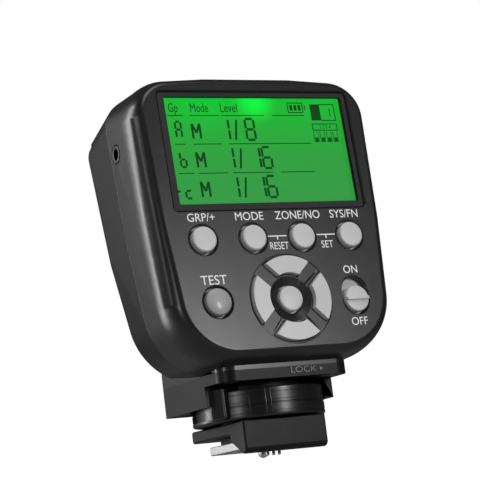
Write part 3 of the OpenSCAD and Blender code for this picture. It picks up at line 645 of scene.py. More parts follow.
def square_ring(width, r, z, back_r=None):
    """Points around a square with rounded corners."""
    if back_r is None:
        back_r = r * FLANGE_BACK_R / FLANGE_R
    half = width / 2
    points = []
    for sx, sy, start, radius in (
        (1, -1, -90, r), (1, 1, 0, back_r), (-1, 1, 90, back_r), (-1, -1, 180, r),
    ):
        for k in range(CORNER_STEPS + 1):
            turn = radians(start + 90 * k / CORNER_STEPS)
            points.append(Vector((
                sx * (half - radius) + radius * cos(turn),
                NECK_Y + sy * (half - radius) + radius * sin(turn),
                z,
            )))
    return points


def neck(name, inwards, low):
    rings = [square_ring(FLANGE_W - 2 * inwards, FLANGE_R - inwards / 2, z) for z in (low, NECK_TOP)]
    for k in range(1, 7):
        turn = pi / 2 * k / 6
        width = FLANGE_W - 2 * (inwards + NECK_CREST_IN * (1 - cos(turn)))
        rings.append(square_ring(
            width, FLANGE_R - inwards / 2, NECK_TOP + (NECK_CREST - inwards / 2 - NECK_TOP) * sin(turn),
        ))
    return loft(name, rings)


def split(piece, front):
    """Keep one side of the seam plane of a piece drawn upright, and close the cut."""
    pick(piece)
    at = FROM_FACE @ Vector((0, 0, -SEAM))
    normal = (FROM_FACE.to_3x3() @ Vector((0, 0, 1))).normalized()
    bpy.ops.object.mode_set(mode="EDIT")
    bpy.ops.mesh.select_all(action="SELECT")
    bpy.ops.mesh.bisect(
        plane_co=at, plane_no=normal, use_fill=True, clear_inner=front, clear_outer=not front
    )
    bpy.ops.object.mode_set(mode="OBJECT")
    return piece


def to_face(piece):
    """Carry a piece drawn upright to the drawing of the face."""
    piece.data.transform(TO_FACE)
    return piece


# %% [markdown]
# ## Front half of the case
# The front half is a solid loft with the neck joined on, hollowed by a thinner loft. Then the holes
# of the face are cut: a recess for the window, round holes with a small chamfer that
# catches the light, four arcs for the pad inside a shallow round step, and the slot of the power knob.

# %% Front half: its solid
FAR = 60.0
KEY_R = 2.95
KEY_GAP = 0.5
KEY_HOLE = KEY_R + KEY_GAP
TEST_R = 3.1
CENTRE_R = 2.93
CENTRE_HOLE = 3.3
ARROW_R = 9.8
ARROW_IN = 5.85
ROUND_GAP = 0.35
BRIDGE = 3.1
DISH_R = 5.3
DISH_DEEP = 0.7
SLOT_W = 6.55
SLOT_L = 8.75
STEP_DEEP = 0.22

front = loft("case_front", front_rings(0.0) + [seam_ring(SEAM, 0.0)])
boolean(front, to_face(split(neck("neck_front", 0.0, FLANGE_TOP), True)), "UNION")
inside = loft("inside", front_rings(WALL)[1:] + [seam_ring(SEAM + 1, WALL)])
for vert in inside.data.vertices:
    vert.co.z = min(vert.co.z, -WALL)
cut(front, inside, to_face(neck("inside_neck", NECK_IN, FLANGE_TOP - 1)))
print("front half:", len(front.data.polygons), "faces")

# %% [markdown]
# A cone with its wide end just above the face gives each round hole its chamfer. All cutters are
# joined into one where they do not touch each other, because one cut is quicker than ten.

# %% Front half: its holes
CHAMFER = 0.35
FLOOR = -WALL - 3.0


def hole_tool(x, y, r):
    wide = r + CHAMFER
    profile = [(0, 1.0), (wide + 0.6, 1.0), (wide + 0.01, 0.01), (r, -CHAMFER), (r, FLOOR), (0, FLOOR)]
    return lathe("hole", profile, x, y, steps=72)


round_holes = [hole_tool(x, KEY_ROW_Y, KEY_HOLE) for x in KEY_ROW]
round_holes.append(hole_tool(*TEST_AT, TEST_R + KEY_GAP))
centre_tool = lathe(
    "centre_hole",
    [(0, 1.0), (DISH_R + 0.9, 1.0), (DISH_R, -STEP_DEEP), (CENTRE_HOLE + 0.15, -DISH_DEEP - 0.12),
     (CENTRE_HOLE, -DISH_DEEP - 0.3), (CENTRE_HOLE, FLOOR), (0, FLOOR)],
    PAD_X, 0, steps=96,
)


def slot_ring(width, length, z, steps=14):
    """Points around a slot with round ends, upright on the face."""
    reach = (length - width) / 2
    points = []
    for start, side in ((0, 1), (180, -1)):
        for k in range(steps + 1):
            turn = radians(start + 180 * k / steps)
            points.append(Vector((
                POWER_X + width / 2 * cos(turn), side * reach + width / 2 * sin(turn), z,
            )))
    return points


slot_tool = loft("slot", [
    slot_ring(SLOT_W, SLOT_L, FLOOR),
    slot_ring(SLOT_W, SLOT_L, -CHAMFER),
    slot_ring(SLOT_W + 2 * CHAMFER, SLOT_L + 2 * CHAMFER, 0.01),
    slot_ring(SLOT_W + 2 * CHAMFER, SLOT_L + 2 * CHAMFER, 1.0),
])
cut(front, join("holes", *round_holes, slot_tool))

# The pad: a shallow round step, then four arcs that leave the bridges between them
step_tool = lathe(
    "step",
    [(0, 1), (ARROW_R + 1.4, 1), (ARROW_R + 0.72, 0.01), (ARROW_R + 0.5, -STEP_DEEP), (0, -STEP_DEEP)],
    PAD_X, 0, steps=128,
)
cut(front, step_tool)
arc_in, arc_out = ARROW_IN - 0.3, ARROW_R + ROUND_GAP
arc_profile = [(arc_in, 1), (arc_out, 1), (arc_out, FLOOR), (arc_in, FLOOR), (arc_in, 1)]
arcs = lathe("arcs", arc_profile, PAD_X, 0, steps=128)
for turn in (45, 135):
    bar = block("bar", -FAR, FAR, -BRIDGE / 2, BRIDGE / 2, -FAR, FAR)
    bar.data.transform(Matrix.Translation((PAD_X, 0, 0)) @ Matrix.Rotation(radians(turn), 4, "Z"))
    cut(arcs, bar)
soften(arcs, 0.45, 3, angle=50)
cut(front, arcs, centre_tool)
print("holes cut:", len(front.data.polygons), "faces")

# %% [markdown]
# The window's recess is a flat well. Its walls lean out a little and its upper edge is
# rounded, so the rim catches a thin line of light. Under the window the
# opening is smaller, which leaves a seat for the window to rest on.

# %% Front half: its display well
WINDOW_MARGIN = 1.3
WINDOW_DEEP = 0.6
WINDOW_T = 1.0
WINDOW_FIT = 0.15


def view_ring(w, h, r, z, steps=6):
    """Points around a rectangle with rounded corners, about the middle of the display."""
    points = []
    for sx, sy, start in ((1, -1, -90), (1, 1, 0), (-1, 1, 90), (-1, -1, 180)):
        for k in range(steps + 1):
            turn = radians(start + 90 * k / steps)
            points.append(Vector((
                sx * (w / 2 - r) + r * cos(turn), VIEW_Y + sy * (h / 2 - r) + r * sin(turn), z,
            )))
    return points


well_w = VIEW_W + 2 * (WINDOW_MARGIN + WINDOW_FIT)
well_h = VIEW_H + 2 * (WINDOW_MARGIN + WINDOW_FIT)
well = loft("well", [
    view_ring(well_w, well_h, 0.8, -WINDOW_DEEP - WINDOW_T),
    view_ring(well_w, well_h, 0.8, -WINDOW_DEEP),
    view_ring(well_w + 0.12, well_h + 0.12, 0.9, -0.36),
    view_ring(well_w + 0.36, well_h + 0.36, 1.0, -0.15),
    view_ring(well_w + 0.8, well_h + 0.8, 1.3, 0.01),
    view_ring(well_w + 2.0, well_h + 2.0, 1.8, 0.8),
])
cut(front, well)
cut(front, loft("opening", [view_ring(VIEW_W + 1.0, VIEW_H + 0.8, 0.5, z) for z in (-5, -0.5)]))

JACK_Y = 39.2
JACK_DEEP = 13.1
JACK_BARREL = 2.0
jack_turn = Matrix.Translation((BODY_X - BODY_W / 2, JACK_Y, -JACK_DEEP)) @ Matrix.Rotation(pi / 2, 4, "Y")
jack_tool = lathe(
    "jack_hole", [(0, -1), (JACK_BARREL + 0.9, -1), (JACK_BARREL + 0.15, 0.35), (JACK_BARREL + 0.05, 0.5),
                  (JACK_BARREL + 0.05, 4), (0, 4)], steps=64,
)
jack_tool.data.transform(jack_turn)
cut(front, jack_tool)
print("front half with its well:", len(front.data.polygons), "faces")

# %% [markdown]
# ## Rear half and battery door
# The rear half is made the same way, from the slices behind the seam. A box stands inside it
# around the battery bay. The door is the same wall, cut out by a box, so that it lies flush.
# Its edges are softened a little more than they are on a drawing, as they are on the real one.

# %% Rear half
DOOR_LOW = 1.3
DOOR_H = 35.2
DOOR_RIGHT = 20.0
DOOR_GAP = 0.15
DOOR_WRAP = 32.0
DOOR_IN = BODY_DEEP - WALL
BAY_Y = DOOR_LOW + DOOR_H / 2 + 1.5
BAY_W = 51.6
BAY_H = 31.2
BAY_FRONT = 18.8
BAY_SKIN = 0.9
BAY_WALL = 1.2
CELL_BACK = 33.8
BOSS = [(BODY_X + side * x, y) for side in (-1, 1) for x, y in ((27.0, 46.8), (12.2, -7.9))]
HEAD_R = 1.7
SCREW_FLOOR = 26.0


def rear_solid(name, t, front_at=SEAM):
    return loft(name, [seam_ring(front_at, t)] + rear_rings(t))


def bay(name, skin, grow=0.0, back=DOOR_IN):
    """The battery bay's box, kept inside the outer skin."""
    box = block(
        name, BODY_X - BAY_W / 2 - grow, BODY_X + BAY_W / 2 + grow,
        BAY_Y - BAY_H / 2 - grow, BAY_Y + BAY_H / 2 + grow, -back, grow - BAY_FRONT,
    )
    return boolean(box, rear_solid("skin", skin), "INTERSECT")


rear = rear_solid("case_rear", 0.0)
boolean(rear, to_face(split(neck("neck_rear", 0.0, FLANGE_TOP), False)), "UNION")
cut(rear, rear_solid("inside", WALL, SEAM - 0.5), to_face(neck("inside_neck", NECK_IN, FLANGE_TOP - 1)))
boolean(rear, bay("bay_wall", WALL / 2, BAY_WALL), "UNION")
cut(rear, bay("bay_room", BAY_SKIN))
doorway = block(
    "doorway", -FAR, DOOR_RIGHT + DOOR_GAP, DOOR_LOW - DOOR_GAP, DOOR_LOW + DOOR_H + DOOR_GAP,
    -FAR, DOOR_GAP - DOOR_WRAP,
)
cut(rear, doorway)
well_profile = [
    (0, -FAR), (HEAD_R + 0.3, -FAR), (HEAD_R, 2.5 - BODY_DEEP), (HEAD_R, -SCREW_FLOOR), (0, -SCREW_FLOOR),
]
cut(rear, join("wells", *[lathe("screw_well", well_profile, x, y, steps=40) for x, y in BOSS]))
print("rear half:", len(rear.data.polygons), "faces")

# %% Battery door
door = rear_solid("door", 0.0)
door_box = block("door_box", -FAR, DOOR_RIGHT, DOOR_LOW, DOOR_LOW + DOOR_H, -FAR, -DOOR_WRAP)
boolean(door, door_box, "INTERSECT")
cut(door, rear_solid("inside", WALL, SEAM - 0.5), bay("bay_room", BAY_SKIN, 0.0, CELL_BACK))
GRIPS = 6
GRIP_PITCH = 2.0
grips = []
for k in range(GRIPS):
    x = -15 + k * GRIP_PITCH
    grip = block("grip", x, x + 1.0, BAY_Y - 7, BAY_Y + 7, -BODY_DEEP - 1, -BODY_DEEP + 0.45)
    grips.append(soften(grip, 0.3, 2))
cut(door, join("grips", *grips))
soften(door, 0.18, 2, angle=45)
print("door:", len(door.data.polygons), "faces")

# %% [markdown]
# A seam shows as a fine dark line because the two edges are rounded where they meet. A bevel on the
# edges that lie on the seam plane makes it: they are picked by their depth.

# %% Seam edges
def bevel_at(piece, depth, width, reach=0.02):
    """Round the outer edges that lie at one depth."""
    pick(piece)
    bpy.ops.object.mode_set(mode="EDIT")
    bpy.ops.mesh.select_mode(type="EDGE")
    bpy.ops.mesh.select_all(action="DESELECT")
    mesh = bmesh.from_edit_mesh(piece.data)
    for edge in mesh.edges:
        if all(abs(v.co.z + depth) < reach for v in edge.verts) and edge.is_manifold:
            if edge.calc_face_angle(0) > radians(60):
                edge.select = True
    mesh.select_flush(True)
    chosen = sum(e.select for e in mesh.edges)
    bmesh.update_edit_mesh(piece.data)
    bpy.ops.mesh.bevel(offset=width, segments=2, affect="EDGES")
    bpy.ops.mesh.select_mode(type="VERT")
    bpy.ops.object.mode_set(mode="OBJECT")
    return chosen


print("seam edges:", bevel_at(front, SEAM, 0.12), bevel_at(rear, SEAM, 0.12))
finish_piece(front, "case", CASE, stands_for=["front_shell"])
finish_piece(rear, "case", CASE, stands_for=["rear_shell"])
finish_piece(door, "battery_door", CASE, stands_for=["battery_door"])

# %% [markdown]
# ## Window and display
# The window is a clear plate in the well. A black border is printed behind it, and the
# picture lies deeper. The picture's strokes are thin dark bars just above the lit film:
# figures of seven bars, ruled lines between the rows, and a battery sign.

# %% Window and lit film
pane = loft("window_pane", [
    view_ring(VIEW_W + 2 * WINDOW_MARGIN, VIEW_H + 2 * WINDOW_MARGIN, 0.7, z)
    for z in (-WINDOW_DEEP - WINDOW_T + 0.05, -WINDOW_DEEP)
])
soften(pane, 0.08, 2)
finish_piece(pane, "case", WINDOW, stands_for=["display_window"])

film = loft("display_film", [view_ring(VIEW_W + 1.8, VIEW_H + 1.4, 0.3, z) for z in (-4.3, -GLASS_DEEP)])
soften(film, 0.05, 1)
finish_piece(film, "case", LCD, stands_for=["display_glass"])

border = loft("window_border", [
    view_ring(VIEW_W + 2 * WINDOW_MARGIN, VIEW_H + 2 * WINDOW_MARGIN, 0.7, z)
    for z in (0.012 - WINDOW_DEEP, 0.032 - WINDOW_DEEP)
])
seen_part = loft("seen_part", [view_ring(VIEW_W, VIEW_H, 0.5, z) for z in (-WINDOW_DEEP - 1, 0.5)])
seen_part.data.transform(Matrix.Translation((0.3, 0.2, 0)))
cut(border, seen_part)
finish_piece(border, "case", SHADOW)


# %% [markdown]
# Places on the picture are given as shares of its width, from the left, and of its height, from the top.

# %% The picture's strokes
STROKE_OUT = 0.03 - GLASS_DEEP
PICTURE_AT = (0.30, 0.40)
STROKE_T = 0.04


def spot(u, v):
    return PICTURE_AT[0] + (u - 0.5) * VIEW_W, PICTURE_AT[1] + view_high - v * VIEW_H


def stroke(p, q, width, u_v=True):
    """A thin bar between two places, as a part of the picture."""
    (x0, y0), (x1, y1) = (spot(*p), spot(*q)) if u_v else (p, q)
    length = sqrt((x1 - x0) ** 2 + (y1 - y0) ** 2)
    bar = block("stroke", -length / 2, length / 2, -width / 2, width / 2, 0, STROKE_T)
    turn = Vector((x1 - x0, y1 - y0, 0)).to_track_quat("X", "Z").to_matrix().to_4x4()
    bar.data.transform(Matrix.Translation(((x0 + x1) / 2, (y0 + y1) / 2, STROKE_OUT)) @ turn)
    return bar


BARS = {
    "top": ((0, 1), (1, 1)), "middle": ((0, 0.5), (1, 0.5)), "bottom": ((0, 0), (1, 0)),
    "upper left": ((0, 0.5), (0, 1)), "lower left": ((0, 0), (0, 0.5)),
    "upper right": ((1, 0.5), (1, 1)), "lower right": ((1, 0), (1, 0.5)),
}
FIGURES = {
    "8": list(BARS),
    "6": [b for b in BARS if b != "upper right"],
    "1": ["upper right", "lower right"],
    "A": [b for b in BARS if b != "bottom"],
    "b": ["middle", "bottom", "upper left", "lower left", "lower right"],
    "c": ["middle", "bottom", "lower left"],
}


def figure(sign, u0, u1, v0, v1, width=0.5):
    """A figure of seven bars between two shares of the width and of the height."""
    x0, y1 = spot(u0, v0)
    x1, y0 = spot(u1, v1)
    gap = 0.06 + width * 0.3
    parts = []
    for bar in FIGURES[sign]:
        (ax, ay), (bx, by) = BARS[bar]
        p = Vector((x0 + ax * (x1 - x0), y0 + ay * (y1 - y0)))
        q = Vector((x0 + bx * (x1 - x0), y0 + by * (y1 - y0)))
        short = (q - p).normalized() * gap
        parts.append(stroke(p + short, q - short, width, u_v=False))
    return parts


picture = []
SIGN_W = 0.5
LETTER_W = 0.55
VALUE_W = 0.58
RULE_W = 0.2
FRAME_W = 0.22
ROWS = [
    ("A", 0.060, 0.090, 0.215, 0.365, "8", 0.190, 0.390),
    ("b", 0.060, 0.090, 0.500, 0.640, "16", 0.460, 0.660),
    ("c", 0.062, 0.094, 0.790, 0.930, "16", 0.735, 0.935),
]
for sign, u0, u1, v0, v1, value, low, high in ROWS:
    picture += figure(sign, u0, u1, v0, v1, SIGN_W)
    picture += [stroke(p, q, LETTER_W) for p, q in (
        ((0.150, high - 0.015), (0.150, low + 0.045)), ((0.150, low + 0.045), (0.171, high - 0.07)),
        ((0.171, high - 0.07), (0.192, low + 0.045)), ((0.192, low + 0.045), (0.192, high - 0.015)),
    )]
    picture += figure("1", 0.333, 0.353, low, high, LETTER_W)
    picture.append(stroke((0.383, high), (0.401, low + 0.01), SIGN_W))
    if value == "8":
        picture += figure("8", 0.448, 0.496, low, high, VALUE_W)
    else:
        picture += figure("1", 0.478, 0.500, low, high, VALUE_W)
        picture += figure("6", 0.516, 0.564, low, high, VALUE_W)
for v, spans in (
    (0.157, ((0.026, 0.111), (0.148, 0.310), (0.320, 0.563), (0.612, 0.795))),
    (0.427, ((0.045, 0.100), (0.142, 0.302), (0.338, 0.810))),
    (0.700, ((0.040, 0.122), (0.145, 0.308), (0.335, 0.562), (0.603, 0.800))),
):
    picture += [stroke((u0, v), (u1, v), RULE_W) for u0, u1 in spans]

# The battery sign, the channel's frame and the table at the right
SIGN_LINES = (
    ((0.707, 0.035), (0.793, 0.035)), ((0.707, 0.128), (0.793, 0.128)), ((0.707, 0.035), (0.707, 0.128)),
    ((0.793, 0.035), (0.793, 0.128)), ((0.806, 0.060), (0.806, 0.105)), ((0.893, 0.048), (0.976, 0.048)),
    ((0.893, 0.205), (0.976, 0.205)), ((0.976, 0.048), (0.976, 0.205)), ((0.833, 0.240), (0.976, 0.240)),
    ((0.833, 0.300), (0.976, 0.300)), ((0.833, 0.240), (0.833, 0.300)), ((0.976, 0.240), (0.976, 0.300)),
    ((0.948, 0.085), (0.948, 0.165)),
)
picture += [stroke(p, q, FRAME_W) for p, q in SIGN_LINES]
for u in (0.726, 0.750, 0.774):
    picture.append(stroke((u, 0.055), (u, 0.108), 0.72))
picture.append(stroke((0.864, 0.048), (0.864, 0.205), 2.6))
for k in range(4):
    u = 0.846 + 0.0375 * k
    picture += [stroke((edge, 0.310), (edge, 0.420), 0.12) for edge in (u - 0.013, u + 0.013)]
    picture.append(stroke((u, 0.372), (u, 0.415), 0.85))
arrow = lathe("row_arrow", [(0, 0), (1.0, 0), (1.0, STROKE_T), (0, STROKE_T)], steps=3)
arrow_at = Matrix.Translation((*spot(0.016, 0.865), STROKE_OUT))
arrow.data.transform(arrow_at @ Matrix.Diagonal((1, 0.9, 1, 1)))
strokes = join("display_strokes", *picture, arrow)
finish_piece(strokes, "case", SEGMENT)
print("picture:", len(picture), "strokes")

# %% [markdown]
# ## Words
# Words are text objects. Each is given a little thickness, made a mesh, and only then put in its place.
# The print stands a few hundredths of a millimetre proud, as real ink does.

# %% Words on the face
def word(text, x, y, size, out, thick=0.02, squeeze=1.0):
    clear()
    bpy.ops.object.text_add()
    piece = bpy.context.object
    data = piece.data
    data.body = text
    data.size = size
    data.align_x = "CENTER"
    data.align_y = "CENTER"
    data.resolution_u = 6
    data.extrude = thick / 2
    pick(piece)
    bpy.ops.object.convert(target="MESH")
    piece = bpy.context.object
    piece.data.transform(Matrix.Translation((x, y, out)) @ Matrix.Diagonal((squeeze, 1, 1, 1)))
    return piece


PRINT_OUT = 0.012
LABELS = (
    ("GRP/+", -18.6, 19.55, 2.75, 0.95), ("MODE", -6.5, 19.55, 2.75, 0.95),
    ("ZONE/NO", 6.1, 19.55, 2.75, 0.93), ("SYS/FN", 18.4, 19.55, 2.75, 0.93),
    ("RESET", 0.0, 12.35, 2.45, 0.76), ("SET", 12.6, 12.35, 2.45, 0.84),
    ("TEST", -17.9, 4.95, 3.1, 0.97), ("ON", 17.5, 6.1, 2.6, 0.95), ("OFF", 17.55, -6.25, 2.65, 0.95),
)
labels = [word(text, x, y, size, PRINT_OUT, squeeze=squeeze) for text, x, y, size, squeeze in LABELS]


def rule(x0, y0, x1, y1, width):
    """A printed line on the face."""
    w = width / 2
    return block("rule", min(x0, x1) - w, max(x0, x1) + w, min(y0, y1) - w, max(y0, y1) + w, 0.002, 0.022)


for middle, reach in ((-0.1, 2.3), (12.6, 2.3)):
    labels.append(rule(middle - reach, 14.75, middle + reach, 14.75, 0.26))
    labels.append(rule(middle, 14.0, middle, 14.6, 0.26))
print_on_face = join("printed_words", *labels)
finish_piece(print_on_face, "case", INK, angle=20)

HEADER = (
    ("Gp", 0.062, 0.088, 3.1, 0.66), ("Mode", 0.205, 0.088, 3.1, 0.66),
    ("Level", 0.370, 0.088, 3.1, 0.72), ("1 2 3 4", 0.905, 0.271, 1.2, 0.9),
)
header = [
    word(text, *spot(u, v), size, STROKE_OUT + 0.02, STROKE_T, squeeze=squeeze)
    for text, u, v, size, squeeze in HEADER
]
header_words = join("display_words", *header)
finish_piece(header_words, "case", SEGMENT, angle=20)
print("words:", len(labels) + len(header))

# %% [markdown]
# ## Keys
# A round key is a cap with a rounded rim and a very slight dome, a lip that keeps it
# behind the shell, and a stem down to its switch. All of that is one turned profile.
# The four keys of the row are the same, so the profile is turned once for each at its place.

# %% Round keys
LIP_FRONT = -WALL - 0.05
LIP_T = 0.9
STEM_R = 1.2
STEM_END = -4.05


def key_profile(r, proud, rim, dome, lip_r):
    return (
        [(0, proud + dome), (r * 0.45, proud + dome * 0.72), (r * 0.78, proud + dome * 0.22)]
        + arc(r - rim, proud - rim, rim, 90, 0, 6)
        + [(r, LIP_FRONT), (lip_r, LIP_FRONT), (lip_r, LIP_FRONT - LIP_T), (STEM_R, LIP_FRONT - LIP_T),
           (STEM_R, STEM_END), (0, STEM_END)]
    )


KEY_PROUD = 1.1
names = ("group", "mode", "zoom", "function")
for name, x in zip(names, KEY_ROW):
    profile = key_profile(KEY_R, KEY_PROUD - 0.06, 0.42, 0.06, KEY_HOLE + 0.8)
    key = lathe("cap_" + name, profile, x, KEY_ROW_Y, 72)
    finish_piece(key, name + "_key", KEY, stands_for=["key_" + name])

test_cap = lathe(
    "cap_test", key_profile(TEST_R, KEY_PROUD - 0.30, 0.55, 0.30, TEST_R + KEY_GAP + 0.8), *TEST_AT, 72
)
finish_piece(test_cap, "test_key", TEST_KEY, stands_for=["key_test"])

centre_cap = lathe(
    "cap_centre",
    [(0, 0.42), (CENTRE_R * 0.5, 0.39), (CENTRE_R * 0.8, 0.32)] + arc(CENTRE_R - 0.4, -0.12, 0.4, 90, 0, 6)
    + [(CENTRE_R, LIP_FRONT), (CENTRE_HOLE + 0.5, LIP_FRONT), (CENTRE_HOLE + 0.5, LIP_FRONT - LIP_T),
       (STEM_R, LIP_FRONT - LIP_T), (STEM_R, STEM_END), (0, STEM_END)],
    PAD_X, 0, 72,
)
finish_piece(centre_cap, "centre_key", KEY, stands_for=["key_centre"])
print("round keys:", len(names) + 2)

# %% [markdown]
# The arrow keys are four pieces of one ring. The ring is turned, cut by a square corner
# that leaves a quarter less its bridges, and all its edges are rounded. A copy for each of the four
# ways is turned about the pad's centre, and the first one is then deleted.

# %% Arrow keys
KEY_IN = BRIDGE / 2 + ROUND_GAP
ring = lathe(
    "arrow_ring",
    [(ARROW_IN, KEY_PROUD), (ARROW_R, KEY_PROUD - 0.08), (ARROW_R, LIP_FRONT - LIP_T),
     (ARROW_IN, LIP_FRONT - LIP_T), (ARROW_IN, KEY_PROUD)],
    steps=128,
)
quarter = block("quarter", KEY_IN, FAR, KEY_IN, FAR, -FAR, FAR)
quarter.data.transform(Matrix.Rotation(radians(-45), 4, "Z"))
boolean(ring, quarter, "INTERSECT")
soften(ring, 0.42, 4, angle=50)
for k, side in enumerate(("right", "up", "left", "down")):
    pick(ring)
    bpy.ops.object.duplicate()
    arrow_cap = bpy.context.object
    arrow_cap.name = "cap_" + side
    turn = Matrix.Rotation(pi / 2 * k, 4, "Z")
    middle = (ARROW_R + ARROW_IN) / 2
    foot = rod("stem", middle, 0, STEM_R, STEM_END, LIP_FRONT - LIP_T + 0.2, 32)
    boolean(arrow_cap, foot, "UNION")
    arrow_cap.data.transform(Matrix.Translation((PAD_X, 0, 0)) @ turn)
    finish_piece(arrow_cap, side + "_key", KEY, stands_for=["key_" + side])
bpy.data.objects.remove(ring)
print("arrow keys:", 4)

# %% [markdown]
# ## Power knob
# The knob slides in its slot. Its plate closes the slot from behind, and a raised ridge across its
# round top is what the finger pushes. The two half discs beside the ridge are a little lower.

# %% Knob
KNOB_R = 3.0
KNOB_Y = SLOT_W / 2 - SLOT_L / 2 + 0.2
KNOB_PROUD = 1.4
RIDGE_W = 0.8
TRAVEL = 1.9
knob = lathe(
    "power_knob_cap",
    [(0, 0.72), (KNOB_R - 0.3, 0.70)] + arc(KNOB_R - 0.3, 0.4, 0.3, 90, 0, 4) + [(KNOB_R, -2.2), (0, -2.2)],
    POWER_X, KNOB_Y, 72,
)
ridge = lathe(
    "ridge", [(0, KNOB_PROUD), (KNOB_R - 0.12, KNOB_PROUD - 0.15), (KNOB_R - 0.05, -1), (0, -1)],
    POWER_X, KNOB_Y, 72,
)
ridge_low, ridge_high = KNOB_Y - RIDGE_W / 2, KNOB_Y + RIDGE_W / 2
boolean(ridge, block("band", POWER_X - FAR, POWER_X + FAR, ridge_low, ridge_high, -FAR, FAR), "INTERSECT")
soften(ridge, 0.16, 3)
boolean(knob, ridge, "UNION")
plate_w = SLOT_W / 2 + 0.45
plate = block(
    "knob_plate", POWER_X - plate_w, POWER_X + plate_w,
    -SLOT_L / 2 - TRAVEL - 0.35, SLOT_L / 2 + 0.35, -WALL - 0.9, -WALL - 0.1,
)
soften(plate, 0.2, 2)
boolean(knob, plate, "UNION")
boolean(knob, rod("peg", POWER_X, KNOB_Y, 0.9, -5.4, -2.0, 32), "UNION")
finish_piece(knob, "power_knob", KEY, stands_for=["power_knob"])
print("knob at", round(KNOB_Y, 3))

# %% [markdown]
# ## Sync jack
# The jack is a black moulding inside the wall with a bright ring at its mouth.
# The bore stays open, as a plug goes in there.

# %% Jack
JACK_R = 1.3
JACK_RING_T = 0.75
LIP = 0.12
mouth = lathe(
    "jack_mouth",
    [(JACK_R, LIP)]
    + arc(JACK_R + LIP, LIP, LIP, 180, 270, 3)
    + arc(JACK_BARREL - LIP, LIP, LIP, 270, 360, 3)
    + [(JACK_BARREL, JACK_RING_T), (JACK_R, JACK_RING_T), (JACK_R, LIP)], steps=64,
)
mouth.data.transform(jack_turn)
finish_piece(mouth, "case", RING, stands_for=["jack_ring"])
NECK_R = JACK_BARREL - 0.02
BORE_END = 10.75
barrel = lathe(
    "jack_body",
    [(JACK_R, JACK_RING_T), (NECK_R, JACK_RING_T), (NECK_R, 3.6), (3.2, 3.7), (3.2, 11.6), (2.9, 11.8),
     (0, 11.8), (0, BORE_END), (JACK_R, BORE_END), (JACK_R, JACK_RING_T)], steps=64,
)
barrel.data.transform(jack_turn)
finish_piece(barrel, "case", BLACK, stands_for=["sync_jack"])
print("jack mouth and body made")

# %% [markdown]
# ## Flange and shroud
# The flange closes the neck, and its lower part wraps the back of the lock ring like a shroud.
# It is a block with rounded corners. A step is cut off its front, and the ring's round space from below.

# %% Flange
SHROUD_Z = 10.2
SHROUD_FRONT = -7.0
RING_R = 15.55
SHROUD_GAP = 0.4
flange = loft("flange", [square_ring(FLANGE_W, FLANGE_R, z) for z in (SHROUD_Z, FLANGE_TOP)])
cut(
    flange,
    block("step", -FAR, FAR, -FAR, SHROUD_FRONT, -FAR, FLANGE_Z),
    rod("ring_room", 0, 0, RING_R + SHROUD_GAP, SHROUD_Z - 1, FLANGE_Z, 128),
    rod("ribbon_hole", 0, 0, 5.0, 0, FAR, 64),
)
screw_holes = [
    rod("screw_hole", x * 12.4, NECK_Y + y * 12.4, 1.7, SHROUD_Z - 1, FLANGE_Z + 1, 32)
    for x in (-1, 1) for y in (-1, 1)
]
cut(flange, join("screw_holes", *screw_holes))
soften(flange, 0.38, 3, angle=50)
finish_piece(flange, "case", FOOT_PLASTIC, place=FOOT, stands_for=["foot_flange"])
print("flange:", len(flange.data.polygons), "faces")

# %% [markdown]
# ## Lock ring
# The ring is a turned piece with fine grooves round it. A finger grip is cut into it at the left
# of the front, with upright ridges and one lug that stands out for the thumb.
# Sectors of a circle, turned part of the way round, make both the cut and the ridges.

# %% Lock ring
RING_Z = 6.6
RING_TOP = 13.3
POST_R = 9.0
TURN_GAP = 0.06
GRIP_IN = 0.55
LUG = (38.5, 52.5)
RIDGES = (58, 32.3, 18.9, 14.5)
LUG_OUT = 1.7


def sector(name, r_out, r_in, start, end, z0, z1, steps=None):
    """Part of a ring between two angles, counted from the front towards the left."""
    if steps is None:
        steps = max(3, round(abs(end - start) / 2.5))
    profile = [(r_in, z0), (r_out, z0), (r_out, z1), (r_in, z1), (r_in, z0)]
    return lathe(name, profile, steps=steps, turn=end - start, start=270 - end)


# Fine grooves round the ring: height, and how deep it is cut there
RING_GROOVES = (
    (7.55, 0), (7.62, 0.07), (7.78, 0.07), (7.85, 0), (9.30, 0), (9.42, 0.16), (9.58, 0.16), (9.70, 0),
    (10.1, 0), (10.16, 0.05), (10.24, 0.05), (10.3, 0), (11.9, 0), (11.96, 0.06), (12.06, 0.06), (12.12, 0),
)
ring_profile = (
    [(POST_R + TURN_GAP, 8.6), (10.75, 8.6), (10.75, RING_Z + 0.1), (10.85, RING_Z)]
    + [(RING_R - 0.35, RING_Z)]
    + arc(RING_R - 0.35, RING_Z + 0.35, 0.35, 270, 360, 4)
    + [(RING_R - deep, z) for z, deep in RING_GROOVES]
    + arc(RING_R - 0.4, RING_TOP - 0.4, 0.4, 0, 90, 4)
    + [(POST_R + TURN_GAP + 0.1, RING_TOP), (POST_R + TURN_GAP, RING_TOP - 0.1), (POST_R + TURN_GAP, 8.6)]
)
lock = lathe("lock_ring_body", ring_profile, steps=160)
grip_low = RING_Z + 0.8
grip_high = RING_TOP - 0.8
cut(lock, sector("grip", 20, RING_R - GRIP_IN - 0.5, 12.5, 66, grip_low, grip_high))
ribs = []
for angle in RIDGES:
    ribs.append(soften(sector("rib", RING_R + 0.08, RING_R - GRIP_IN - 1.2, angle - 0.8, angle + 0.8,
                              RING_Z + 0.25, RING_TOP - 0.25), 0.14, 2))
lug = sector("lug", RING_R + LUG_OUT, RING_R - 2.2, *LUG, 7.1, 14.1)
soften(lug, 0.4, 4)
for tool in ribs + [lug]:
    boolean(lock, tool, "UNION")
finish_piece(lock, "lock_ring", RING, place=FOOT, stands_for=["lock_ring"])
print("lock ring:", len(lock.data.polygons), "faces")

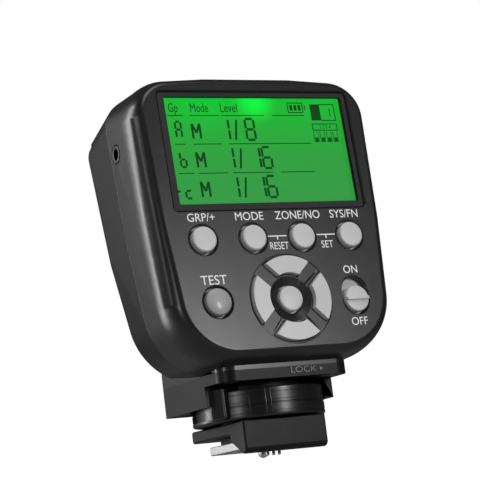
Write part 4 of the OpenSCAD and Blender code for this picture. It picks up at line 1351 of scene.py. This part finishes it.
# %% [markdown]
# ## Foot
# The foot's housing is a stretched profile: a stop wall in front, a slope, and a flat underside that
# stands over the shoe's rails. A polygon is drawn, extruded across, and cut by the pocket
# that leaves the waist between housing and plate.

# %% Foot housing
BASE_W = 21.5
BASE_TOP = 6.4
BASE_FRONT = -12.4
BASE_BACK = 15.0
STOP_Z = -1.2
STOP_T = 3.3
PLATE_W = 18.6
PLATE_L = 18.0
PLATE_T = 2.0
WAIST_W = 12.4
WAIST_TOP = 3.5
CHEEK_BACK = -4.9
BLOCK_HALF = 4.2
BLOCK_FRONT = -5.4
BLOCK_BACK = 2.4
BLOCK_GAP = 0.05
PIN_Y = 7.4
PIN_HOLE = 0.86


def block_room(top):
    """The room for the contact block, open below."""
    half = BLOCK_HALF + BLOCK_GAP
    return block("block_room", -half, half, BLOCK_FRONT - BLOCK_GAP, BLOCK_BACK + BLOCK_GAP, -FAR, top)


def prism(name, outline, x0, x1):
    """A polygon drawn in y and z, extruded from x0 to x1."""
    clear()
    bpy.ops.mesh.primitive_circle_add(vertices=len(outline), radius=1, fill_type="NGON")
    piece = named(name)
    for vert, (y, z) in zip(piece.data.vertices, outline):
        vert.co = (x0, y, z)
    bpy.ops.object.mode_set(mode="EDIT")
    bpy.ops.mesh.select_all(action="SELECT")
    bpy.ops.mesh.extrude_region_move(TRANSFORM_OT_translate={"value": (x1 - x0, 0, 0)})
    bpy.ops.mesh.select_all(action="SELECT")
    bpy.ops.mesh.normals_make_consistent(inside=False)
    bpy.ops.object.mode_set(mode="OBJECT")
    return piece


housing = prism("foot_housing", [
    (BASE_FRONT, BASE_TOP), (BASE_FRONT, STOP_Z + 0.8), (BASE_FRONT + 0.8, STOP_Z),
    (BASE_FRONT + 1.8, STOP_Z), (CHEEK_BACK, 2.0), (CHEEK_BACK, WAIST_TOP), (BASE_BACK, WAIST_TOP),
    (BASE_BACK, BASE_TOP),
], -BASE_W / 2, BASE_W / 2)
pocket_w = PLATE_W / 2 + 0.15
cut(housing, block("pocket", -pocket_w, pocket_w, BASE_FRONT + STOP_T, FAR, -FAR, WAIST_TOP))
soften(housing, 0.55, 4, angle=35)
waist = block("waist", -WAIST_W / 2, WAIST_W / 2, -PLATE_L / 2, PLATE_L / 2, PLATE_T, WAIST_TOP + 1)
boolean(housing, waist, "UNION")
boolean(housing, rod("post", 0, 0, POST_R, BASE_TOP - 1, FLANGE_Z, 128), "UNION")
cut(
    housing,
    rod("post_bore", 0, 0, 6.4, 8.2, FAR, 64),
    rod("well", 0, 0, 5.2, 4.6, FAR, 64),
    block_room(4.7),
    rod("pin_room", 0, PIN_Y, PIN_HOLE, -1, FAR, 32),
    rod("pin_spring_room", 0, PIN_Y, 1.4, 3.9, 7.9, 32),
    block("arm_room", -1.3, 1.3, 6.4, 10.9, 5.1, 7.9),
)
finish_piece(housing, "case", FOOT_PLASTIC, place=FOOT, stands_for=["foot_base"])
print("foot housing:", len(housing.data.polygons), "faces")

# %% [markdown]
# ## Shoe plate and contacts
# The plate is bright metal with its edges broken. A black block carries the contacts in its middle: one
# large centre contact and four small pins with round tips, each a turned profile.

# %% Plate and contacts
shoe = block("plate", -PLATE_W / 2, PLATE_W / 2, -PLATE_L / 2, PLATE_L / 2, 0, PLATE_T)
soften(shoe, 0.32, 3)
sink = [(0, -1), (1.72, -1), (1.6, 0), (0.85, 0.95), (0.85, 3), (0, 3)]
sinks = [lathe("countersink", sink, x * 4.3, y * 7.2, 40) for x in (-1, 1) for y in (-1, 1)]
cut(
    shoe,
    block_room(FAR),
    rod("pin_room", 0, PIN_Y, PIN_HOLE, -1, 3, 32),
    join("countersinks", *sinks),
)
finish_piece(shoe, "case", PLATE, place=FOOT, stands_for=["shoe_plate"])

carrier = block("contact_carrier", -BLOCK_HALF, BLOCK_HALF, BLOCK_FRONT, BLOCK_BACK, -0.25, 4.6)
soften(carrier, 0.2, 3)
DATA_X = [1.5 * k for k in (-1.5, -0.5, 0.5, 1.5)]
DATA_Y = -3.6
pin_holes = [rod("hole", x, DATA_Y, 0.48, -1, 6, 32) for x in DATA_X]
cut(carrier, rod("hole", 0, 0, 1.26, -1, 6, 48), join("holes", *pin_holes))
finish_piece(carrier, "case", BLACK, place=FOOT, stands_for=["contact_block"])


def contact(name, x, y, r, tip, collar, body, finish, node):
    profile = (
        arc(0, tip + r, r, 270, 360, 8) + [(r, 4.62), (collar, 4.62), (collar, 5.12), (0, 5.12)]
    )
    profile[0] = (0, tip)
    finish_piece(lathe(name, profile, x, y, 40), body, finish, place=FOOT, stands_for=[node])


contact("centre_pin", 0, 0, 1.2, -2.0, 1.55, "centre_contact", STEEL, "centre_contact")
for k, x in enumerate(DATA_X):
    name = "data_pin_" + str(k + 1)
    contact("tip_" + str(k + 1), x, DATA_Y, 0.42, -1.8, 0.58, name, STEEL, name)
print("plate, block and", len(DATA_X) + 1, "contacts made")

# %% [markdown]
# The flange carries one raised word and an arrow that show which way to turn the ring. Their plastic is
# lighter
# # than the flange's as a painted highlight, standing in for the light that catches the relief's edges. The
# word is
# # made as before, but stood on the flange's front wall.

# %% Raised word on the flange
NECK_FRONT = NECK_Y - FLANGE_W / 2
lock_word = word("LOCK", 0, 0, 1.9, 0, thick=0.5, squeeze=1.35)
mark = lathe("lock_arrow", [(0, -0.25), (0.6, -0.25), (0.6, 0.25), (0, 0.25)], 4.6, 0, steps=3)
raised = join("raised_word_painted_highlight", lock_word, mark)
raised.data.transform(Matrix.Translation((3.9, NECK_FRONT - 0.06, 16.2)) @ Matrix.Rotation(pi / 2, 4, "X"))
# Its lighter plastic is a painted highlight for the light on the relief's edges.
finish_piece(raised, "case", PAINTED_HIGHLIGHT_PLASTIC, place=FOOT, angle=20)
print("raised word at", round(NECK_FRONT, 2))

# %% [markdown]
# ## Floor, light and camera
# The stage is a plain grey floor in a white room. A tall strip behind to the left draws the long
# highlight on the corner of the case, beside a broad faint box for the side wall. Two boxes in front
# to the right light the lock ring and the lower face, a small one at the left lights the ring's lug,
# and a large one above fills the keys.

# %% Stage and lights
FLOOR_Z = -0.12
ROOM_SEEN = 1.0
ROOM_LIGHT = 0.05
clear()
bpy.ops.mesh.primitive_plane_add(size=6, location=(0, 0, FLOOR_Z))
floor = bpy.context.object
floor.name = "floor"
grey_floor = Finish("floor", Roughness=0.9)
grey_floor.set("Base Color", grey_floor.mix(grey_floor.noise(3), grey(0.34), grey(0.38)))
floor.data.materials.append(grey_floor.material)

world = bpy.data.worlds.new("white_room")
bpy.context.scene.world = world
world.use_nodes = True
tree = world.node_tree
tree.nodes.clear()
seen = tree.nodes.new("ShaderNodeLightPath")
white = tree.nodes.new("ShaderNodeBackground")
white.inputs["Strength"].default_value = ROOM_SEEN
dim = tree.nodes.new("ShaderNodeBackground")
dim.inputs["Color"].default_value = (1, 1, 1, 1)
dim.inputs["Strength"].default_value = ROOM_LIGHT
white.inputs["Color"].default_value = (1, 1, 1, 1)
blend = tree.nodes.new("ShaderNodeMixShader")
sky = tree.nodes.new("ShaderNodeOutputWorld")
tree.links.new(seen.outputs["Is Camera Ray"], blend.inputs[0])
tree.links.new(dim.outputs[0], blend.inputs[1])
tree.links.new(white.outputs[0], blend.inputs[2])
tree.links.new(blend.outputs[0], sky.inputs["Surface"])


def soft_box(name, at, aim, size, power):
    """A rectangular light at a place, facing another."""
    clear()
    bpy.ops.object.light_add(type="AREA", location=at)
    light = bpy.context.object
    light.name = name
    light.data.shape = "RECTANGLE"
    light.data.size, light.data.size_y = size
    light.data.energy = power
    light.rotation_euler = (Vector(aim) - Vector(at)).to_track_quat("-Z", "Y").to_euler()
    return light


MIDDLE = (0.0, 0.0, 0.045)
soft_box("left_strip", (-0.41, 0.37, 0.15), MIDDLE, (0.07, 0.60), 2.2)
soft_box("front_box", (0.165, -0.45, 0.09), (0, 0, 0.03), (0.035, 0.12), 0.6)
soft_box("face_box", (0.180, -0.45, 0.12), (0, 0, 0.04), (0.06, 0.08), 0.15)
soft_box("ring_box", (-0.40, -0.21, 0.05), (0, 0, 0.01), (0.05, 0.05), 0.22)
soft_box("top_box", (-0.05, -0.30, 0.60), MIDDLE, (0.50, 0.40), 2.3)
soft_box("back_left_box", (-0.25, 0.52, 0.14), MIDDLE, (0.25, 0.50), 0.12)
bpy.context.scene.view_settings.view_transform = "Standard"

# %% Camera
right = Vector((0.8881, -0.4439, -0.1195)).normalized()
ahead = Vector((0.4586, 0.8732, 0.1647)).normalized()
up = right.cross(ahead)
right = ahead.cross(up)
clear()
bpy.ops.object.camera_add()
camera = bpy.context.object
turned = Matrix((right, up, -ahead)).transposed().to_4x4()
camera.matrix_world = Matrix.Translation((-0.19613, -0.37479, -0.02089)) @ turned
camera.data.lens = 135.43
camera.data.sensor_width = 36.0
bpy.context.scene.camera = camera
print("camera", round((camera.location - Vector(MIDDLE)).length, 3), "m away")
